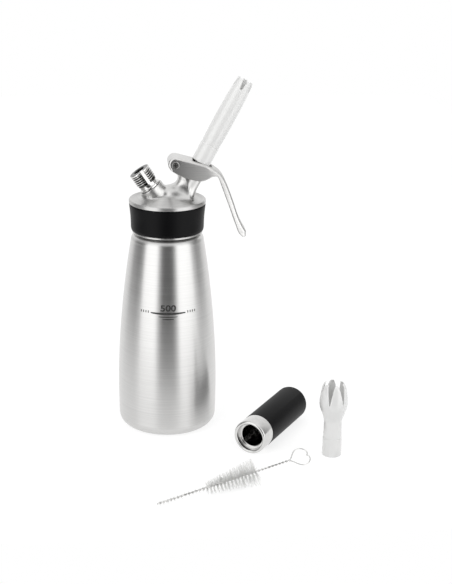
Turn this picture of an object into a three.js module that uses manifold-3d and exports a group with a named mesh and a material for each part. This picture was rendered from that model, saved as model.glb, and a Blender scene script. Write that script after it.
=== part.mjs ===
import * as THREE from 'three';
import { mergeVertices } from 'three/addons/utils/BufferGeometryUtils.js';
import Module from 'manifold-3d';

// A whipped cream dispenser with its charger holder, tulip tip and cleaning brush.
// Millimetres, +Z up. The origin is on the surface it stands on, at the bottle's axis.
// +X points along the lever, away from the charger port, and +Y points away from the lever's front cheek.

const wasm = await Module();
wasm.setup();

// Clearances and overruns
const clearance = 0.3;
const overrun = 1;
const mergeTolerance = 1e-4;

// Facets round a full turn
const wideFacets = 32;
const mediumFacets = 24;
const smallFacets = 16;
const threadFacets = 16;
const nutSides = 6;
const ringSides = 6;
const springWireSides = 5;
const loopWireSides = 6;
const coreSides = 8;
const strandSides = 3;

// Bottle
const footRadius = 32.5;
const footCorner = 9.8;
const bellyRadius = 42.7;
const bellyHeight = 37.7;
const sideTopRadius = 31.2;
const sideTopHeight = 167.6;
const sideTaperPowerShare = 1.85;
const shoulderRise = 6.1;
const shoulderTopHeight = sideTopHeight + shoulderRise;
const bottleWall = 1.0;
const bottleFloor = 1.6;
const neckRadius = 24.3;
const neckWall = 1.5;
const neckLength = 17.3;
const neckLipHeight = shoulderTopHeight + neckLength;
const neckLipChamfer = 0.5;

// Thread between the bottle and the head
const neckPitch = 4;
const neckRidgeDepth = 1.0;
const neckRidgeRootWidth = 1.4;
const neckRidgeCrestWidth = 0.6;
const neckThreadTurns = 2;
const neckThreadRise = 3.3;
const neckThreadStart = shoulderTopHeight + neckThreadRise;
const neckThreadClearance = 0.6;
const headBoreRadius = neckRadius + neckRidgeDepth + neckThreadClearance;

// Head gasket
const gasketThickness = 1.7;
const gasketWidth = 2.4;
const gasketSeatHeight = neckLipHeight + gasketThickness + 2 * clearance;

// Head: skirt, rim and dished top
const skirtWall = 3.3;
const skirtRadius = headBoreRadius + skirtWall;
const skirtGap = 1.5;
const skirtBottom = shoulderTopHeight + skirtGap;
const skirtFlangeWidth = 0.8;
const skirtFlangeHeight = 1.0;
const rimOverhang = 3.4;
const rimRadius = skirtRadius + rimOverhang;
const rimRise = 6.7;
const rimBottom = gasketSeatHeight + rimRise;
const rimHeight = 3.2;
const rimTop = rimBottom + rimHeight;
const rimBead = 1.2;
const dishMargin = 9.6;
const dishDepth = 1.0;
const lidHeight = rimTop - dishDepth;
const hubFootRadius = 17;
const hubRise = 10.5;
const hubTopHeight = lidHeight + hubRise;
const hubTopRadius = 4.5;
const hubStretchShare = 1.25;
const hubOffset = 1.5;
const seatWidth = 4.2;
const ceilingRise = 2.7;
const ceilingHeight = gasketSeatHeight + ceilingRise;

// Silicone band round the head
const bandThickness = 1.5;
const bandSetback = 0.2;
const bandTopThickness = rimOverhang - clearance - bandSetback;
const bandCorner = 1.0;

// Charger port, tilted away from the lever
const portTilt = THREE.MathUtils.degToRad(34);
const portFootX = -7.5;
const portFootRise = 0.8;
const portFootHeight = lidHeight + portFootRise;
const portThreadRadius = 9.25;
const portRidgeDepth = 0.9;
const portRidgeRootWidth = 1.3;
const portRidgeCrestWidth = 0.35;
const portPitch = 1.85;
const portThreadTurns = 5;
const portLipLength = 1.9;
const portEndMargin = 2.05;
const bossMargin = 1.25;
const bossRadius = portThreadRadius + bossMargin;
const bossTop = 10.7;
const bossRoot = 14;
const bossChamfer = 0.8;
const portCollarLength = 1.5;
const portUndercutDepth = 1.35;
const portUndercutLength = 3.2;
const portBoreRadius = 4.75;
const portSpigotWall = 1.25;
const portSpigotRadius = portBoreRadius + portSpigotWall;
const portSpigotLength = 5.7;
const portGasketThickness = 0.8;
const portSeat = bossTop + portGasketThickness + 2 * clearance;
const pinSeat = portSeat + portCollarLength;
const portThreadStart = pinSeat + portUndercutLength + portRidgeRootWidth;
const portLength = portThreadStart + portThreadTurns * portPitch + portEndMargin;
const ventSlotWidth = 3.6;
const ventSlotDepth = 1.2;
const ventSlotAngle = THREE.MathUtils.degToRad(-74);

// What the charger port holds
const pinFlangeThickness = 2.0;
const pinRadius = 1.0;
const pinTipRadius = 0.55;
const pinPointHeight = 5.2;
const pinPointLength = 1.6;
const gasPassageRadius = 1.5;
const pinPassageRadius = 0.45;
const portSealThickness = 2.0;
const checkValveThickness = 2.9;
const checkValvePassageRadius = 0.6;

// Valve stem, its guide, seals and spring
const stemRadius = 3.2;
const stemPlay = 0.4;
const stemBoreRadius = stemRadius + stemPlay;
const stemBore = 1.6;
const stemInletRadius = 1.1;
const stemInletGap = 3.8;
const stemEndMargin = 0.1;
const guideLength = 4.7;
const guideRingThickness = 1.5;
const stemSealRadius = 6.4;
const stemSealThickness = 1.6;
const retainerRadius = 4.9;
const retainerThickness = 1.4;
const springWireRadius = 0.6;
const springStemGap = 1.1;
const springRadius = stemRadius + springStemGap + springWireRadius;
const springTurns = 7;
const springWallGap = 0.8;
const springPocketRadius = springRadius + springWireRadius + springWallGap;
const springPocketDepth = 20.7;

// Valve axis and neck, tilted toward the lever's handle
const valveTilt = THREE.MathUtils.degToRad(28);
const pivotX = 6.3;
const pivotRise = 32;
const pivotHeight = lidHeight + pivotRise;
const pivotToValveAxis = 19.2;
const valveX = pivotX + pivotToValveAxis * Math.cos(valveTilt);
const valveHeight = pivotHeight - pivotToValveAxis * Math.sin(valveTilt);
const neckPipeWall = 1.4;
const neckPipeRadius = springPocketRadius + neckPipeWall;
const neckPipeTop = 1.7;
const neckRootDepth = 3.4;
const neckPipeRoot = (valveHeight - lidHeight) / Math.cos(valveTilt) + neckRootDepth;
const neckFlareWidth = 3.6;
const neckFlareHeight = 7;
const valveBossRadius = 8;
const valveBossDrop = 0.6;
const valveSeatDepth = (valveHeight - ceilingHeight) / Math.cos(valveTilt) + valveBossDrop;
const valveBossLength = 5;
const valvePocketGap = 0.8;
const valvePocketDepth = 8;

// Pivot ear on the neck, and the pivot screw and nut
const earRadius = 4.3;
const earRearDegrees = 240;
const earWidth = 17;
const earGap = 0.9;
const earFootDepth = 14;
const screwRadius = 2.0;
const screwHeadRadius = 3.1;
const screwHeadTopRadius = 2.5;
const screwHeadHeight = 1.2;
const screwRecessLength = 3.4;
const screwRecessWidth = 0.8;
const screwRecessDepth = 0.7;
const nutAcrossFlats = 6.4;
const nutThickness = 2.6;

// Lever: a channel of formed sheet that wraps the ear
const leverSheet = 1.6;
const leverWidth = earWidth + 2 * (earGap + leverSheet);
const leverRearRadius = earRadius + clearance + leverSheet;
const leverRearDegrees = 224;
const leverPlateTilt = THREE.MathUtils.degToRad(14.6);
const leverPlateLength = 24;
const leverReach = 60.7;
const leverDrop = 63.4;
const leverHollowReach = 24.8;
const leverSlotRear = 5.3;
const leverSlotFront = 11.6;

// Nozzle adapter on the stem, with the flange that the lever presses
const adapterFlangeLength = leverWidth - 2 * leverSheet - 2 * clearance;
const adapterFlangeWidth = 8;
const adapterFlangeTop = 8.0;
const adapterFlangeThickness = 2.2;
const leverFlangeGrip = 0.7;
const leverSlotWidth = adapterFlangeLength - 2 * leverFlangeGrip;
const stemGrip = 1.1;
const stemTop = adapterFlangeTop + stemGrip;
const adapterNeckWall = 1.3;
const adapterNeckRadius = stemRadius + clearance + adapterNeckWall;
const adapterThreadStep = 1.1;
const adapterThreadRadius = adapterNeckRadius + adapterThreadStep;
const adapterBore = 2.2;

// Threaded insert in the foot of each nozzle
const insertLength = 9.5;
const insertWall = 0.8;
const insertBore = adapterThreadRadius + clearance;
const insertRadius = insertBore + insertWall;
const socketRadius = insertRadius + clearance;

// Straight nozzle
const nozzleFootGap = 2.6;
const nozzleFoot = adapterFlangeTop + nozzleFootGap;
const adapterTop = nozzleFoot + insertLength;
const nozzleLength = 77.7;
const nozzleTip = nozzleFoot + nozzleLength;
const nozzleCollarWall = 0.85;
const nozzleCollarRadius = socketRadius + nozzleCollarWall;
const nozzleCollarLength = 16.5;
const nozzleCollarStep = 0.2;
const nozzleBodyRadius = nozzleCollarRadius - nozzleCollarStep;
const nozzleMiddleRadius = 8.5;
const nozzleTipRadius = 6.7;
const nozzleWall = 1.3;
const nozzleGroove = 0.35;
const nozzleSlotLength = 8.2;
const nozzleSlotWidth = 4.6;
const nozzleSlotRootWidth = 1.4;
const nozzleProngs = 5;
const nozzleTurn = THREE.MathUtils.degToRad(-8);

// Tulip tip, which stands by itself
const tulipX = 134.8;
const tulipY = -81.1;
const tulipHeight = 64.6;
const tulipFootWall = 0.8;
const tulipFootRadius = socketRadius + tulipFootWall;
const tulipWaistRadius = 7.55;
const tulipWaistHeight = 30.5;
const tulipBellyRadius = 12.0;
const tulipMouthRadius = 8.2;
const tulipCollarLength = 16.0;
const tulipGapFoot = 48;
const tulipGapRootWidth = 0.3;
const tulipWall = 1.3;
const tulipPetals = 6;
const tulipPetalTip = 3.4;
const tulipTurn = THREE.MathUtils.degToRad(33);

// Charger holder, which lies by itself
const holderX = 65.1;
const holderY = -76.7;
const holderYaw = THREE.MathUtils.degToRad(57.8);
const holderThreadRoot = portThreadRadius + clearance;
const holderTubeWall = 2.05;
const holderTubeRadius = holderThreadRoot + holderTubeWall;
const holderGripThickness = 3.15;
const holderRadius = holderTubeRadius + holderGripThickness;
const holderRingLength = 15.5;
const holderRingSetback = 0.15;
const holderRingRadius = holderRadius - holderRingSetback;
const holderBoreDepth = 82.5;
const holderFloor = 3.85;
const holderTubeEnd = holderBoreDepth + holderFloor;
const holderLength = holderTubeEnd + holderGripThickness;
const holderMouthStep = 1.85;
const holderMouthRadius = holderThreadRoot + holderMouthStep;
const holderMouthDepth = 5;
const holderMouthChamfer = 0.8;
const holderLipChamfer = 1.3;
const holderThreadStart = 7;
const holderThreadTurns = 3;
const holderThreadLength = 14;
const holderThreadMargin = 0.05;
const holderChargerRadius = holderThreadRoot - holderThreadMargin;
const holderEndCorner = 5;

// Cleaning brush, which lies by itself
const brushX = -16.8;
const brushY = -166.6;
const brushTipHeight = 2.5;
const brushYaw = THREE.MathUtils.degToRad(20.7);
const brushPitch = THREE.MathUtils.degToRad(6.8);
const brushWireRadius = 1.0;
const brushLength = 87.2;
const brushThinLength = 43;
const brushThinRadius = 2.4;
const brushConeStartRadius = 5.5;
const brushConeEndRadius = 12.6;
const brushMargin = 1.2;
const bristleRadius = 0.26;
const brushThinStations = 40;
const brushConeStations = 112;
const brushTwistPitch = 3.1;
const brushHandleLength = 30;
const loopLength = 17.7;
const loopWidth = 15.7;
const loopWireRadius = 0.5;
const loopSteps = 40;
const loopRoll = THREE.MathUtils.degToRad(31);

// Materials
function metal(color, roughness) {
  return new THREE.MeshStandardMaterial({ color, roughness, metalness: 1 });
}

function plastic(color, roughness) {
  return new THREE.MeshStandardMaterial({ color, roughness, metalness: 0 });
}

const brushedSteel = metal(0xb9b8b5, 0.35);
const polishedSteel = metal(0xd2d1ce, 0.15);
const blackSilicone = plastic(0x141414, 0.7);
const whitePlastic = plastic(0xe8e8e8, 0.35);
const sealRubber = plastic(0x262423, 0.6);
const clearNylon = plastic(0xf2f2ef, 0.4);

// Solids: a closed geometry becomes one solid, with its faces turned outward.
function signedVolume(positions, index) {
  const corners = [new THREE.Vector3(), new THREE.Vector3(), new THREE.Vector3()];
  let volume = 0;
  for (let i = 0; i < index.length; i += 3) {
    corners.forEach((corner, k) => corner.fromArray(positions, index[i + k] * 3));
    volume += corners[0].dot(corners[1].cross(corners[2])) / 6;
  }
  return volume;
}

function wholeTriangles(index) {
  const kept = [];
  for (let i = 0; i < index.length; i += 3) {
    const [a, b, c] = [index[i], index[i + 1], index[i + 2]];
    if (a !== b && b !== c && c !== a) {
      kept.push(a, b, c);
    }
  }
  return kept;
}

function solid(geometry) {
  const bare = geometry.clone();
  bare.deleteAttribute('normal');
  bare.deleteAttribute('uv');
  const merged = mergeVertices(bare, mergeTolerance);
  const positions = merged.getAttribute('position').array;
  const index = wholeTriangles(merged.getIndex().array);
  if (signedVolume(positions, index) < 0) {
    index.reverse();
  }
  return new wasm.Manifold(new wasm.Mesh({
    numProp: 3,
    vertProperties: new Float32Array(positions),
    triVerts: new Uint32Array(index)
  }));
}

function geometryOf(piece) {
  const mesh = piece.getMesh();
  const geometry = new THREE.BufferGeometry();
  geometry.setAttribute('position', new THREE.BufferAttribute(mesh.vertProperties, mesh.numProp));
  geometry.setIndex(new THREE.BufferAttribute(mesh.triVerts, 1));
  geometry.computeVertexNormals();
  return geometry;
}

// A piece turned about +Z from a closed outline of [radius, height] points.
function turned(outline, segments) {
  const points = outline.map(([radius, height]) => new THREE.Vector2(radius, height));
  if (outline[0][0] > 0) {
    points.push(points[0].clone());
  }
  return new THREE.LatheGeometry(points, segments).rotateX(Math.PI / 2);
}

function rod(radius, bottom, top, segments) {
  return turned([[0, bottom], [radius, bottom], [radius, top], [0, top]], segments);
}

function tube(innerRadius, outerRadius, bottom, top, segments) {
  const outline = [[innerRadius, bottom], [outerRadius, bottom], [outerRadius, top], [innerRadius, top]];
  return turned(outline, segments);
}

// A plate whose outline lies in the XZ plane, with its thickness centred on Y.
function plateAcross(points, thickness) {
  const shape = new THREE.Shape(points.map(([x, z]) => new THREE.Vector2(x, z)));
  const geometry = new THREE.ExtrudeGeometry(shape, { depth: thickness, bevelEnabled: false });
  return geometry.translate(0, 0, -thickness / 2).rotateX(Math.PI / 2);
}

function block(width, depth, height) {
  return new THREE.BoxGeometry(width, depth, height);
}

function arc(centreX, centreY, radius, startDegrees, endDegrees, steps) {
  return Array.from({ length: steps + 1 }, (_, i) => {
    const angle = THREE.MathUtils.degToRad(THREE.MathUtils.lerp(startDegrees, endDegrees, i / steps));
    return [centreX + radius * Math.cos(angle), centreY + radius * Math.sin(angle)];
  });
}

// A right-hand thread ridge round +Z that fades in and out. Depth is negative for a ridge inside a bore.
function threadRidge(rootRadius, depth, rootWidth, crestWidth, pitch, turns, start) {
  const fadeSteps = 3;
  const steps = Math.round(turns * threadFacets);
  const sunk = rootRadius - Math.sign(depth) * crestWidth;
  const positions = [];
  for (let i = 0; i <= steps; i += 1) {
    const angle = (i / threadFacets) * 2 * Math.PI;
    const rise = start + (i / threadFacets) * pitch;
    const fade = Math.min(1, (i + 1) / fadeSteps, (steps - i + 1) / fadeSteps);
    const crest = rootRadius + depth * fade;
    const section = [[sunk, -rootWidth / 2], [crest, -crestWidth / 2],
      [crest, crestWidth / 2], [sunk, rootWidth / 2]];
    section.forEach(([radius, height]) => {
      positions.push(radius * Math.cos(angle), radius * Math.sin(angle), rise + height);
    });
  }
  const index = [0, 1, 2, 0, 2, 3];
  for (let i = 0; i < steps; i += 1) {
    for (let k = 0; k < 4; k += 1) {
      const [a, b] = [i * 4 + k, i * 4 + (k + 1) % 4];
      index.push(a, a + 4, b, b, a + 4, b + 4);
    }
  }
  const last = steps * 4;
  index.push(last, last + 2, last + 1, last, last + 3, last + 2);
  const geometry = new THREE.BufferGeometry();
  geometry.setAttribute('position', new THREE.Float32BufferAttribute(positions, 3));
  geometry.setIndex(index);
  return geometry;
}

// Frames that carry turned-over pieces
function placedGroup(x, y, z) {
  const group = new THREE.Group();
  group.position.set(x, y, z);
  return group;
}

function portGroup() {
  const group = placedGroup(portFootX, 0, portFootHeight);
  group.rotation.y = -portTilt;
  group.updateMatrix();
  return group;
}

// The valve group's origin is on the valve axis, level with the pivot, and its +X points away from the pivot.
function valveGroup() {
  const group = placedGroup(valveX, 0, valveHeight);
  group.rotation.y = valveTilt;
  group.updateMatrix();
  return group;
}

function placed(geometry, group) {
  return solid(geometry.clone().applyMatrix4(group.matrix));
}

function mesh(name, piece, material) {
  const node = new THREE.Mesh(geometryOf(piece), material);
  node.name = name;
  return node;
}

// Bottle
function sideRadius(height) {
  const share = (height - bellyHeight) / (sideTopHeight - bellyHeight);
  return bellyRadius - (bellyRadius - sideTopRadius) * share ** sideTaperPowerShare;
}

function shoulderPoints(inset, innerRadius, steps) {
  const shoulderRadius = sideTopRadius - neckRadius;
  const rise = shoulderTopHeight - sideTopHeight;
  return Array.from({ length: steps }, (_, i) => {
    const angle = (Math.PI / 2) * (i + 1) / steps;
    const radius = neckRadius + (shoulderRadius - inset) * Math.cos(angle);
    return [Math.max(radius, innerRadius), sideTopHeight + (rise - inset) * Math.sin(angle)];
  });
}

function bottleOutline() {
  const outerShares = [0, 0.22, 0.42, 0.6, 0.76, 0.9, 1];
  const innerShares = [1, 0.76, 0.42, 0];
  const outerSide = outerShares.map((share) => THREE.MathUtils.lerp(bellyHeight, sideTopHeight, share));
  const innerSide = innerShares.map((share) => THREE.MathUtils.lerp(bellyHeight, sideTopHeight, share));
  const outer = [[0, 0]]
    .concat(arc(footRadius, footCorner, footCorner, -90, 0, 4))
    .concat(outerSide.map((height) => [sideRadius(height), height]))
    .concat(shoulderPoints(0, neckRadius, 4))
    .concat([[neckRadius, neckLipHeight - neckLipChamfer], [neckRadius - neckLipChamfer, neckLipHeight]]);
  const bore = neckRadius - neckWall;
  const inner = [[bore, neckLipHeight]]
    .concat([[bore, shoulderTopHeight - bottleWall]])
    .concat(shoulderPoints(bottleWall, bore, 4).slice(0, -1).reverse())
    .concat(innerSide.map((height) => [sideRadius(height) - bottleWall, height]))
    .concat(arc(footRadius, footCorner, footCorner - bottleFloor, 0, -90, 2))
    .concat([[0, bottleFloor]]);
  return outer.concat(inner);
}

function bottleShell() {
  const ridge = threadRidge(neckRadius, neckRidgeDepth, neckRidgeRootWidth, neckRidgeCrestWidth,
    neckPitch, neckThreadTurns, neckThreadStart);
  return solid(turned(bottleOutline(), wideFacets)).add(solid(ridge));
}

// Head
function headBlankOutline() {
  const flangeRadius = skirtRadius + skirtFlangeWidth;
  const flangeTop = skirtBottom + skirtFlangeHeight;
  return [[0, skirtBottom], [flangeRadius, skirtBottom], [flangeRadius, flangeTop],
    [skirtRadius, flangeTop], [skirtRadius, rimBottom], [rimRadius, rimBottom]]
    .concat(arc(rimRadius - rimBead, rimTop - rimBead, rimBead, 0, 90, 2))
    .concat([[rimRadius - dishMargin, lidHeight], [0, lidHeight]]);
}

function hubOutline() {
  const profileShares = [[0, 1], [0.3, 0.93], [0.5, 0.72], [0.66, 0.42], [0.82, 0.16], [1, 0]];
  const flank = profileShares.map(([out, up]) => [
    THREE.MathUtils.lerp(hubTopRadius, hubFootRadius, out),
    THREE.MathUtils.lerp(lidHeight, hubTopHeight, up)
  ]);
  return [[0, hubTopHeight]].concat(flank).concat([[hubFootRadius, skirtBottom], [0, skirtBottom]]);
}

function hub() {
  const geometry = turned(hubOutline(), mediumFacets);
  return geometry.scale(hubStretchShare, 1, 1).translate(hubOffset, 0, 0);
}

function neckPipe() {
  const flareRadius = neckPipeRadius + neckFlareWidth;
  return turned([[0, -neckPipeRoot], [flareRadius, -neckPipeRoot],
    [flareRadius, neckFlareHeight - neckPipeRoot],
    [neckPipeRadius, 2 * neckFlareHeight - neckPipeRoot],
    [neckPipeRadius, neckPipeTop], [0, neckPipeTop]], mediumFacets);
}

// The ear reaches from the neck back to the pivot, in the valve group's frame.
function pivotEar() {
  const points = arc(-pivotToValveAxis, 0, earRadius, 90, earRearDegrees, 8)
    .concat([[0, -earFootDepth], [0, neckPipeTop - clearance]]);
  return plateAcross(points, earWidth);
}

function portBoss() {
  return turned([[0, -bossRoot], [bossRadius, -bossRoot], [bossRadius, bossTop - bossChamfer],
    [bossRadius - bossChamfer, bossTop], [0, bossTop]], mediumFacets);
}

function headCavity() {
  const seatRadius = headBoreRadius - seatWidth;
  return turned([[0, skirtBottom - overrun], [headBoreRadius, skirtBottom - overrun],
    [headBoreRadius, gasketSeatHeight], [seatRadius, gasketSeatHeight],
    [seatRadius - seatWidth / 2, ceilingHeight], [0, ceilingHeight]], wideFacets);
}

function headRidge() {
  const halfTurn = neckPitch / 2;
  return threadRidge(headBoreRadius, -neckRidgeDepth, neckRidgeRootWidth, neckRidgeCrestWidth,
    neckPitch, neckThreadTurns, neckThreadStart + halfTurn);
}

function pivotHole() {
  const hole = rod(screwRadius + clearance, -leverWidth, leverWidth, smallFacets);
  return solid(hole.rotateX(Math.PI / 2).translate(pivotX, 0, pivotHeight));
}

function headShell(port, valve) {
  const spigotBottom = bossTop - portSpigotLength;
  const portSocket = rod(portSpigotRadius + clearance, spigotBottom - checkValveThickness - 2 * clearance,
    bossTop + overrun, smallFacets);
  const gasPassage = rod(gasPassageRadius, -bossRoot, bossTop, smallFacets / 2);
  const springPocket = rod(springPocketRadius, neckPipeTop - springPocketDepth, neckPipeTop + overrun,
    mediumFacets);
  const stemPassage = rod(stemBoreRadius, -valveSeatDepth - overrun, neckPipeTop, smallFacets);
  const valveBoss = rod(valveBossRadius, -valveSeatDepth, valveBossLength - valveSeatDepth, mediumFacets);
  const valvePocket = rod(valveBossRadius + valvePocketGap, -valveSeatDepth - valvePocketDepth,
    -valveSeatDepth, mediumFacets);
  return solid(turned(headBlankOutline(), wideFacets))
    .add(solid(hub()))
    .add(placed(portBoss(), port))
    .add(placed(neckPipe(), valve))
    .add(placed(pivotEar(), valve))
    .subtract(solid(headCavity()))
    .subtract(placed(valvePocket, valve))
    .add(placed(valveBoss, valve))
    .add(solid(headRidge()))
    .subtract(placed(portSocket, port))
    .subtract(placed(gasPassage, port))
    .subtract(placed(springPocket, valve))
    .subtract(placed(stemPassage, valve))
    .subtract(pivotHole());
}

function headGasket() {
  const outerRadius = headBoreRadius - clearance;
  const bottom = neckLipHeight + clearance;
  return solid(tube(outerRadius - gasketWidth, outerRadius, bottom, bottom + gasketThickness, wideFacets));
}

function gripBand() {
  const inner = skirtRadius + clearance;
  const bottom = skirtBottom + skirtFlangeHeight + clearance;
  const top = rimBottom - clearance;
  return solid(turned([[inner, bottom], [inner + bandThickness - bandCorner, bottom],
    [inner + bandThickness, bottom + bandCorner], [inner + bandTopThickness, top - bandCorner],
    [inner + bandTopThickness - bandCorner / 2, top], [inner, top]], wideFacets));
}

// Charger port and what it holds, in the port group's frame
function portOutline() {
  const root = portThreadRadius - portRidgeDepth;
  const undercut = portThreadRadius - portUndercutDepth;
  const undercutTop = pinSeat + portUndercutLength;
  const lipFoot = portLength - portLipLength;
  const halfDepth = portRidgeDepth / 2;
  return [[gasPassageRadius, bossTop - portSpigotLength], [portSpigotRadius, bossTop - portSpigotLength],
    [portSpigotRadius, portSeat], [portThreadRadius, portSeat], [portThreadRadius, pinSeat],
    [undercut, pinSeat], [undercut, undercutTop], [root, undercutTop],
    [root, lipFoot], [portThreadRadius - halfDepth, lipFoot],
    [portThreadRadius, lipFoot + halfDepth], [portThreadRadius, portLength - halfDepth],
    [portThreadRadius - halfDepth, portLength],
    [portBoreRadius + halfDepth, portLength], [portBoreRadius, portLength - halfDepth],
    [portBoreRadius, pinSeat], [gasPassageRadius, pinSeat]];
}

function chargerPort() {
  const ridge = threadRidge(portThreadRadius - portRidgeDepth, portRidgeDepth, portRidgeRootWidth,
    portRidgeCrestWidth, portPitch, portThreadTurns, portThreadStart);
  const slotLength = portLength - pinSeat;
  const slot = block(2 * ventSlotDepth, ventSlotWidth, slotLength)
    .translate(portThreadRadius, 0, pinSeat + portUndercutLength + slotLength / 2)
    .rotateZ(ventSlotAngle);
  return solid(turned(portOutline(), threadFacets)).add(solid(ridge)).subtract(solid(slot));
}

function portGasket() {
  const bottom = bossTop + clearance;
  return solid(tube(portSpigotRadius + clearance, portThreadRadius - clearance, bottom,
    bottom + portGasketThickness, smallFacets));
}

function piercingPin() {
  const flangeRadius = portBoreRadius - clearance;
  const bottom = pinSeat + clearance;
  const flangeTop = bottom + pinFlangeThickness;
  const point = flangeTop + pinPointHeight;
  return solid(turned([[pinPassageRadius, bottom], [flangeRadius, bottom], [flangeRadius, flangeTop],
    [pinRadius, flangeTop], [pinRadius, point - pinPointLength], [pinTipRadius, point],
    [pinPassageRadius, point]], smallFacets));
}

function portSeal() {
  const bottom = pinSeat + pinFlangeThickness + 2 * clearance;
  return solid(tube(pinRadius + clearance, portBoreRadius - clearance, bottom, bottom + portSealThickness,
    smallFacets));
}

function checkValve() {
  const top = bossTop - portSpigotLength - clearance;
  return solid(tube(checkValvePassageRadius, portSpigotRadius, top - checkValveThickness, top, smallFacets));
}

// A six-sided nut with a round bore
function hexNut(boreRadius, cornerRadius, bottom, top) {
  const bore = rod(boreRadius, bottom - overrun, top + overrun, smallFacets);
  return solid(rod(cornerRadius, bottom, top, nutSides)).subtract(solid(bore));
}

// Valve train, in the valve group's frame
const flangeUnderside = adapterFlangeTop - adapterFlangeThickness;
const pocketFloor = neckPipeTop - springPocketDepth;

function valveStem() {
  const tail = stemSealThickness + retainerThickness + 2 * clearance + stemEndMargin;
  const inletHeight = stemInletGap - valveSeatDepth;
  const bore = rod(stemBore, inletHeight - stemInletRadius, stemTop + overrun, smallFacets / 2);
  const inlet = rod(stemInletRadius, -stemRadius - overrun, stemRadius + overrun, smallFacets / 2)
    .rotateX(Math.PI / 2).translate(0, 0, inletHeight);
  const stem = rod(stemRadius, -valveSeatDepth - tail, stemTop, smallFacets);
  return solid(stem).subtract(solid(bore)).subtract(solid(inlet));
}

function stemGuide() {
  const bottom = pocketFloor + clearance;
  return solid(tube(stemRadius + clearance, springPocketRadius - clearance, bottom, bottom + guideLength,
    smallFacets));
}

function ringOf(innerRadius, outerRadius, bottom, thickness, segments) {
  const radius = (outerRadius - innerRadius) / 2;
  const centre = (outerRadius + innerRadius) / 2;
  const outline = Array.from({ length: ringSides }, (_, i) => {
    const angle = ((2 * i + 1) / ringSides) * Math.PI;
    return [centre + radius * Math.cos(angle), bottom + thickness / 2 * (1 + Math.sin(angle))];
  });
  return turned(outline, segments);
}

function guideRing() {
  const bottom = pocketFloor + guideLength + 2 * clearance;
  return solid(ringOf(stemRadius + clearance, springPocketRadius - clearance, bottom, guideRingThickness,
    smallFacets));
}

function stemSeal() {
  const top = -valveSeatDepth - clearance;
  return solid(tube(stemRadius + clearance, stemSealRadius, top - stemSealThickness, top, smallFacets));
}

function sealRetainer() {
  const top = -valveSeatDepth - stemSealThickness - 2 * clearance;
  const bottom = top - retainerThickness;
  return hexNut(stemRadius + clearance, retainerRadius, bottom, top);
}

class Helix extends THREE.Curve {
  constructor(radius, bottom, top, turns) {
    super();
    Object.assign(this, { radius, bottom, top, turns });
  }

  getPoint(share, target = new THREE.Vector3()) {
    const angle = share * this.turns * 2 * Math.PI;
    const height = THREE.MathUtils.lerp(this.bottom, this.top, share);
    return target.set(this.radius * Math.cos(angle), this.radius * Math.sin(angle), height);
  }
}

function leastCoilGap(curve, turns, wireRadius) {
  const perTurn = 48;
  const count = Math.round(turns * perTurn);
  const points = Array.from({ length: count + 1 }, (_, i) => curve.getPoint(i / count));
  const later = (i) => points.slice(i + perTurn / 2);
  const gaps = points.flatMap((point, i) => later(i).map((other) => point.distanceTo(other)));
  return Math.min(...gaps) - 2 * wireRadius;
}

function wireSection(radius, sides) {
  const points = Array.from({ length: sides }, (_, i) => {
    const angle = (i / sides) * 2 * Math.PI;
    return new THREE.Vector2(radius * Math.cos(angle), radius * Math.sin(angle));
  });
  return new THREE.Shape(points);
}

function tubeAlong(curve, radius, sides, steps) {
  const options = { steps, extrudePath: curve, bevelEnabled: false };
  return new THREE.ExtrudeGeometry(wireSection(radius, sides), options);
}

function valveSpring() {
  const bottom = pocketFloor + guideLength + guideRingThickness + 3 * clearance + springWireRadius;
  const top = flangeUnderside - clearance - springWireRadius;
  const curve = new Helix(springRadius, bottom, top, springTurns);
  const stepsPerTurn = 8;
  const gap = leastCoilGap(curve, springTurns, springWireRadius);
  console.log('least gap in the valve spring, mm:', gap.toFixed(2));
  return solid(tubeAlong(curve, springWireRadius, springWireSides, springTurns * stepsPerTurn));
}

function nozzleAdapter() {
  const flange = solid(rod(adapterFlangeLength / 2, flangeUnderside, adapterFlangeTop, mediumFacets))
    .intersect(solid(block(adapterFlangeWidth, adapterFlangeLength, 2 * adapterTop)));
  const pipe = turned([[0, flangeUnderside], [adapterNeckRadius, flangeUnderside],
    [adapterNeckRadius, nozzleFoot + clearance], [adapterThreadRadius, nozzleFoot + clearance],
    [adapterThreadRadius, adapterTop], [0, adapterTop]], smallFacets);
  const socket = rod(stemRadius + clearance, flangeUnderside - overrun, stemTop + clearance, smallFacets);
  const bore = rod(adapterBore, stemTop, adapterTop + overrun, smallFacets / 2);
  return flange.add(solid(pipe)).subtract(solid(socket)).subtract(solid(bore));
}

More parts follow.
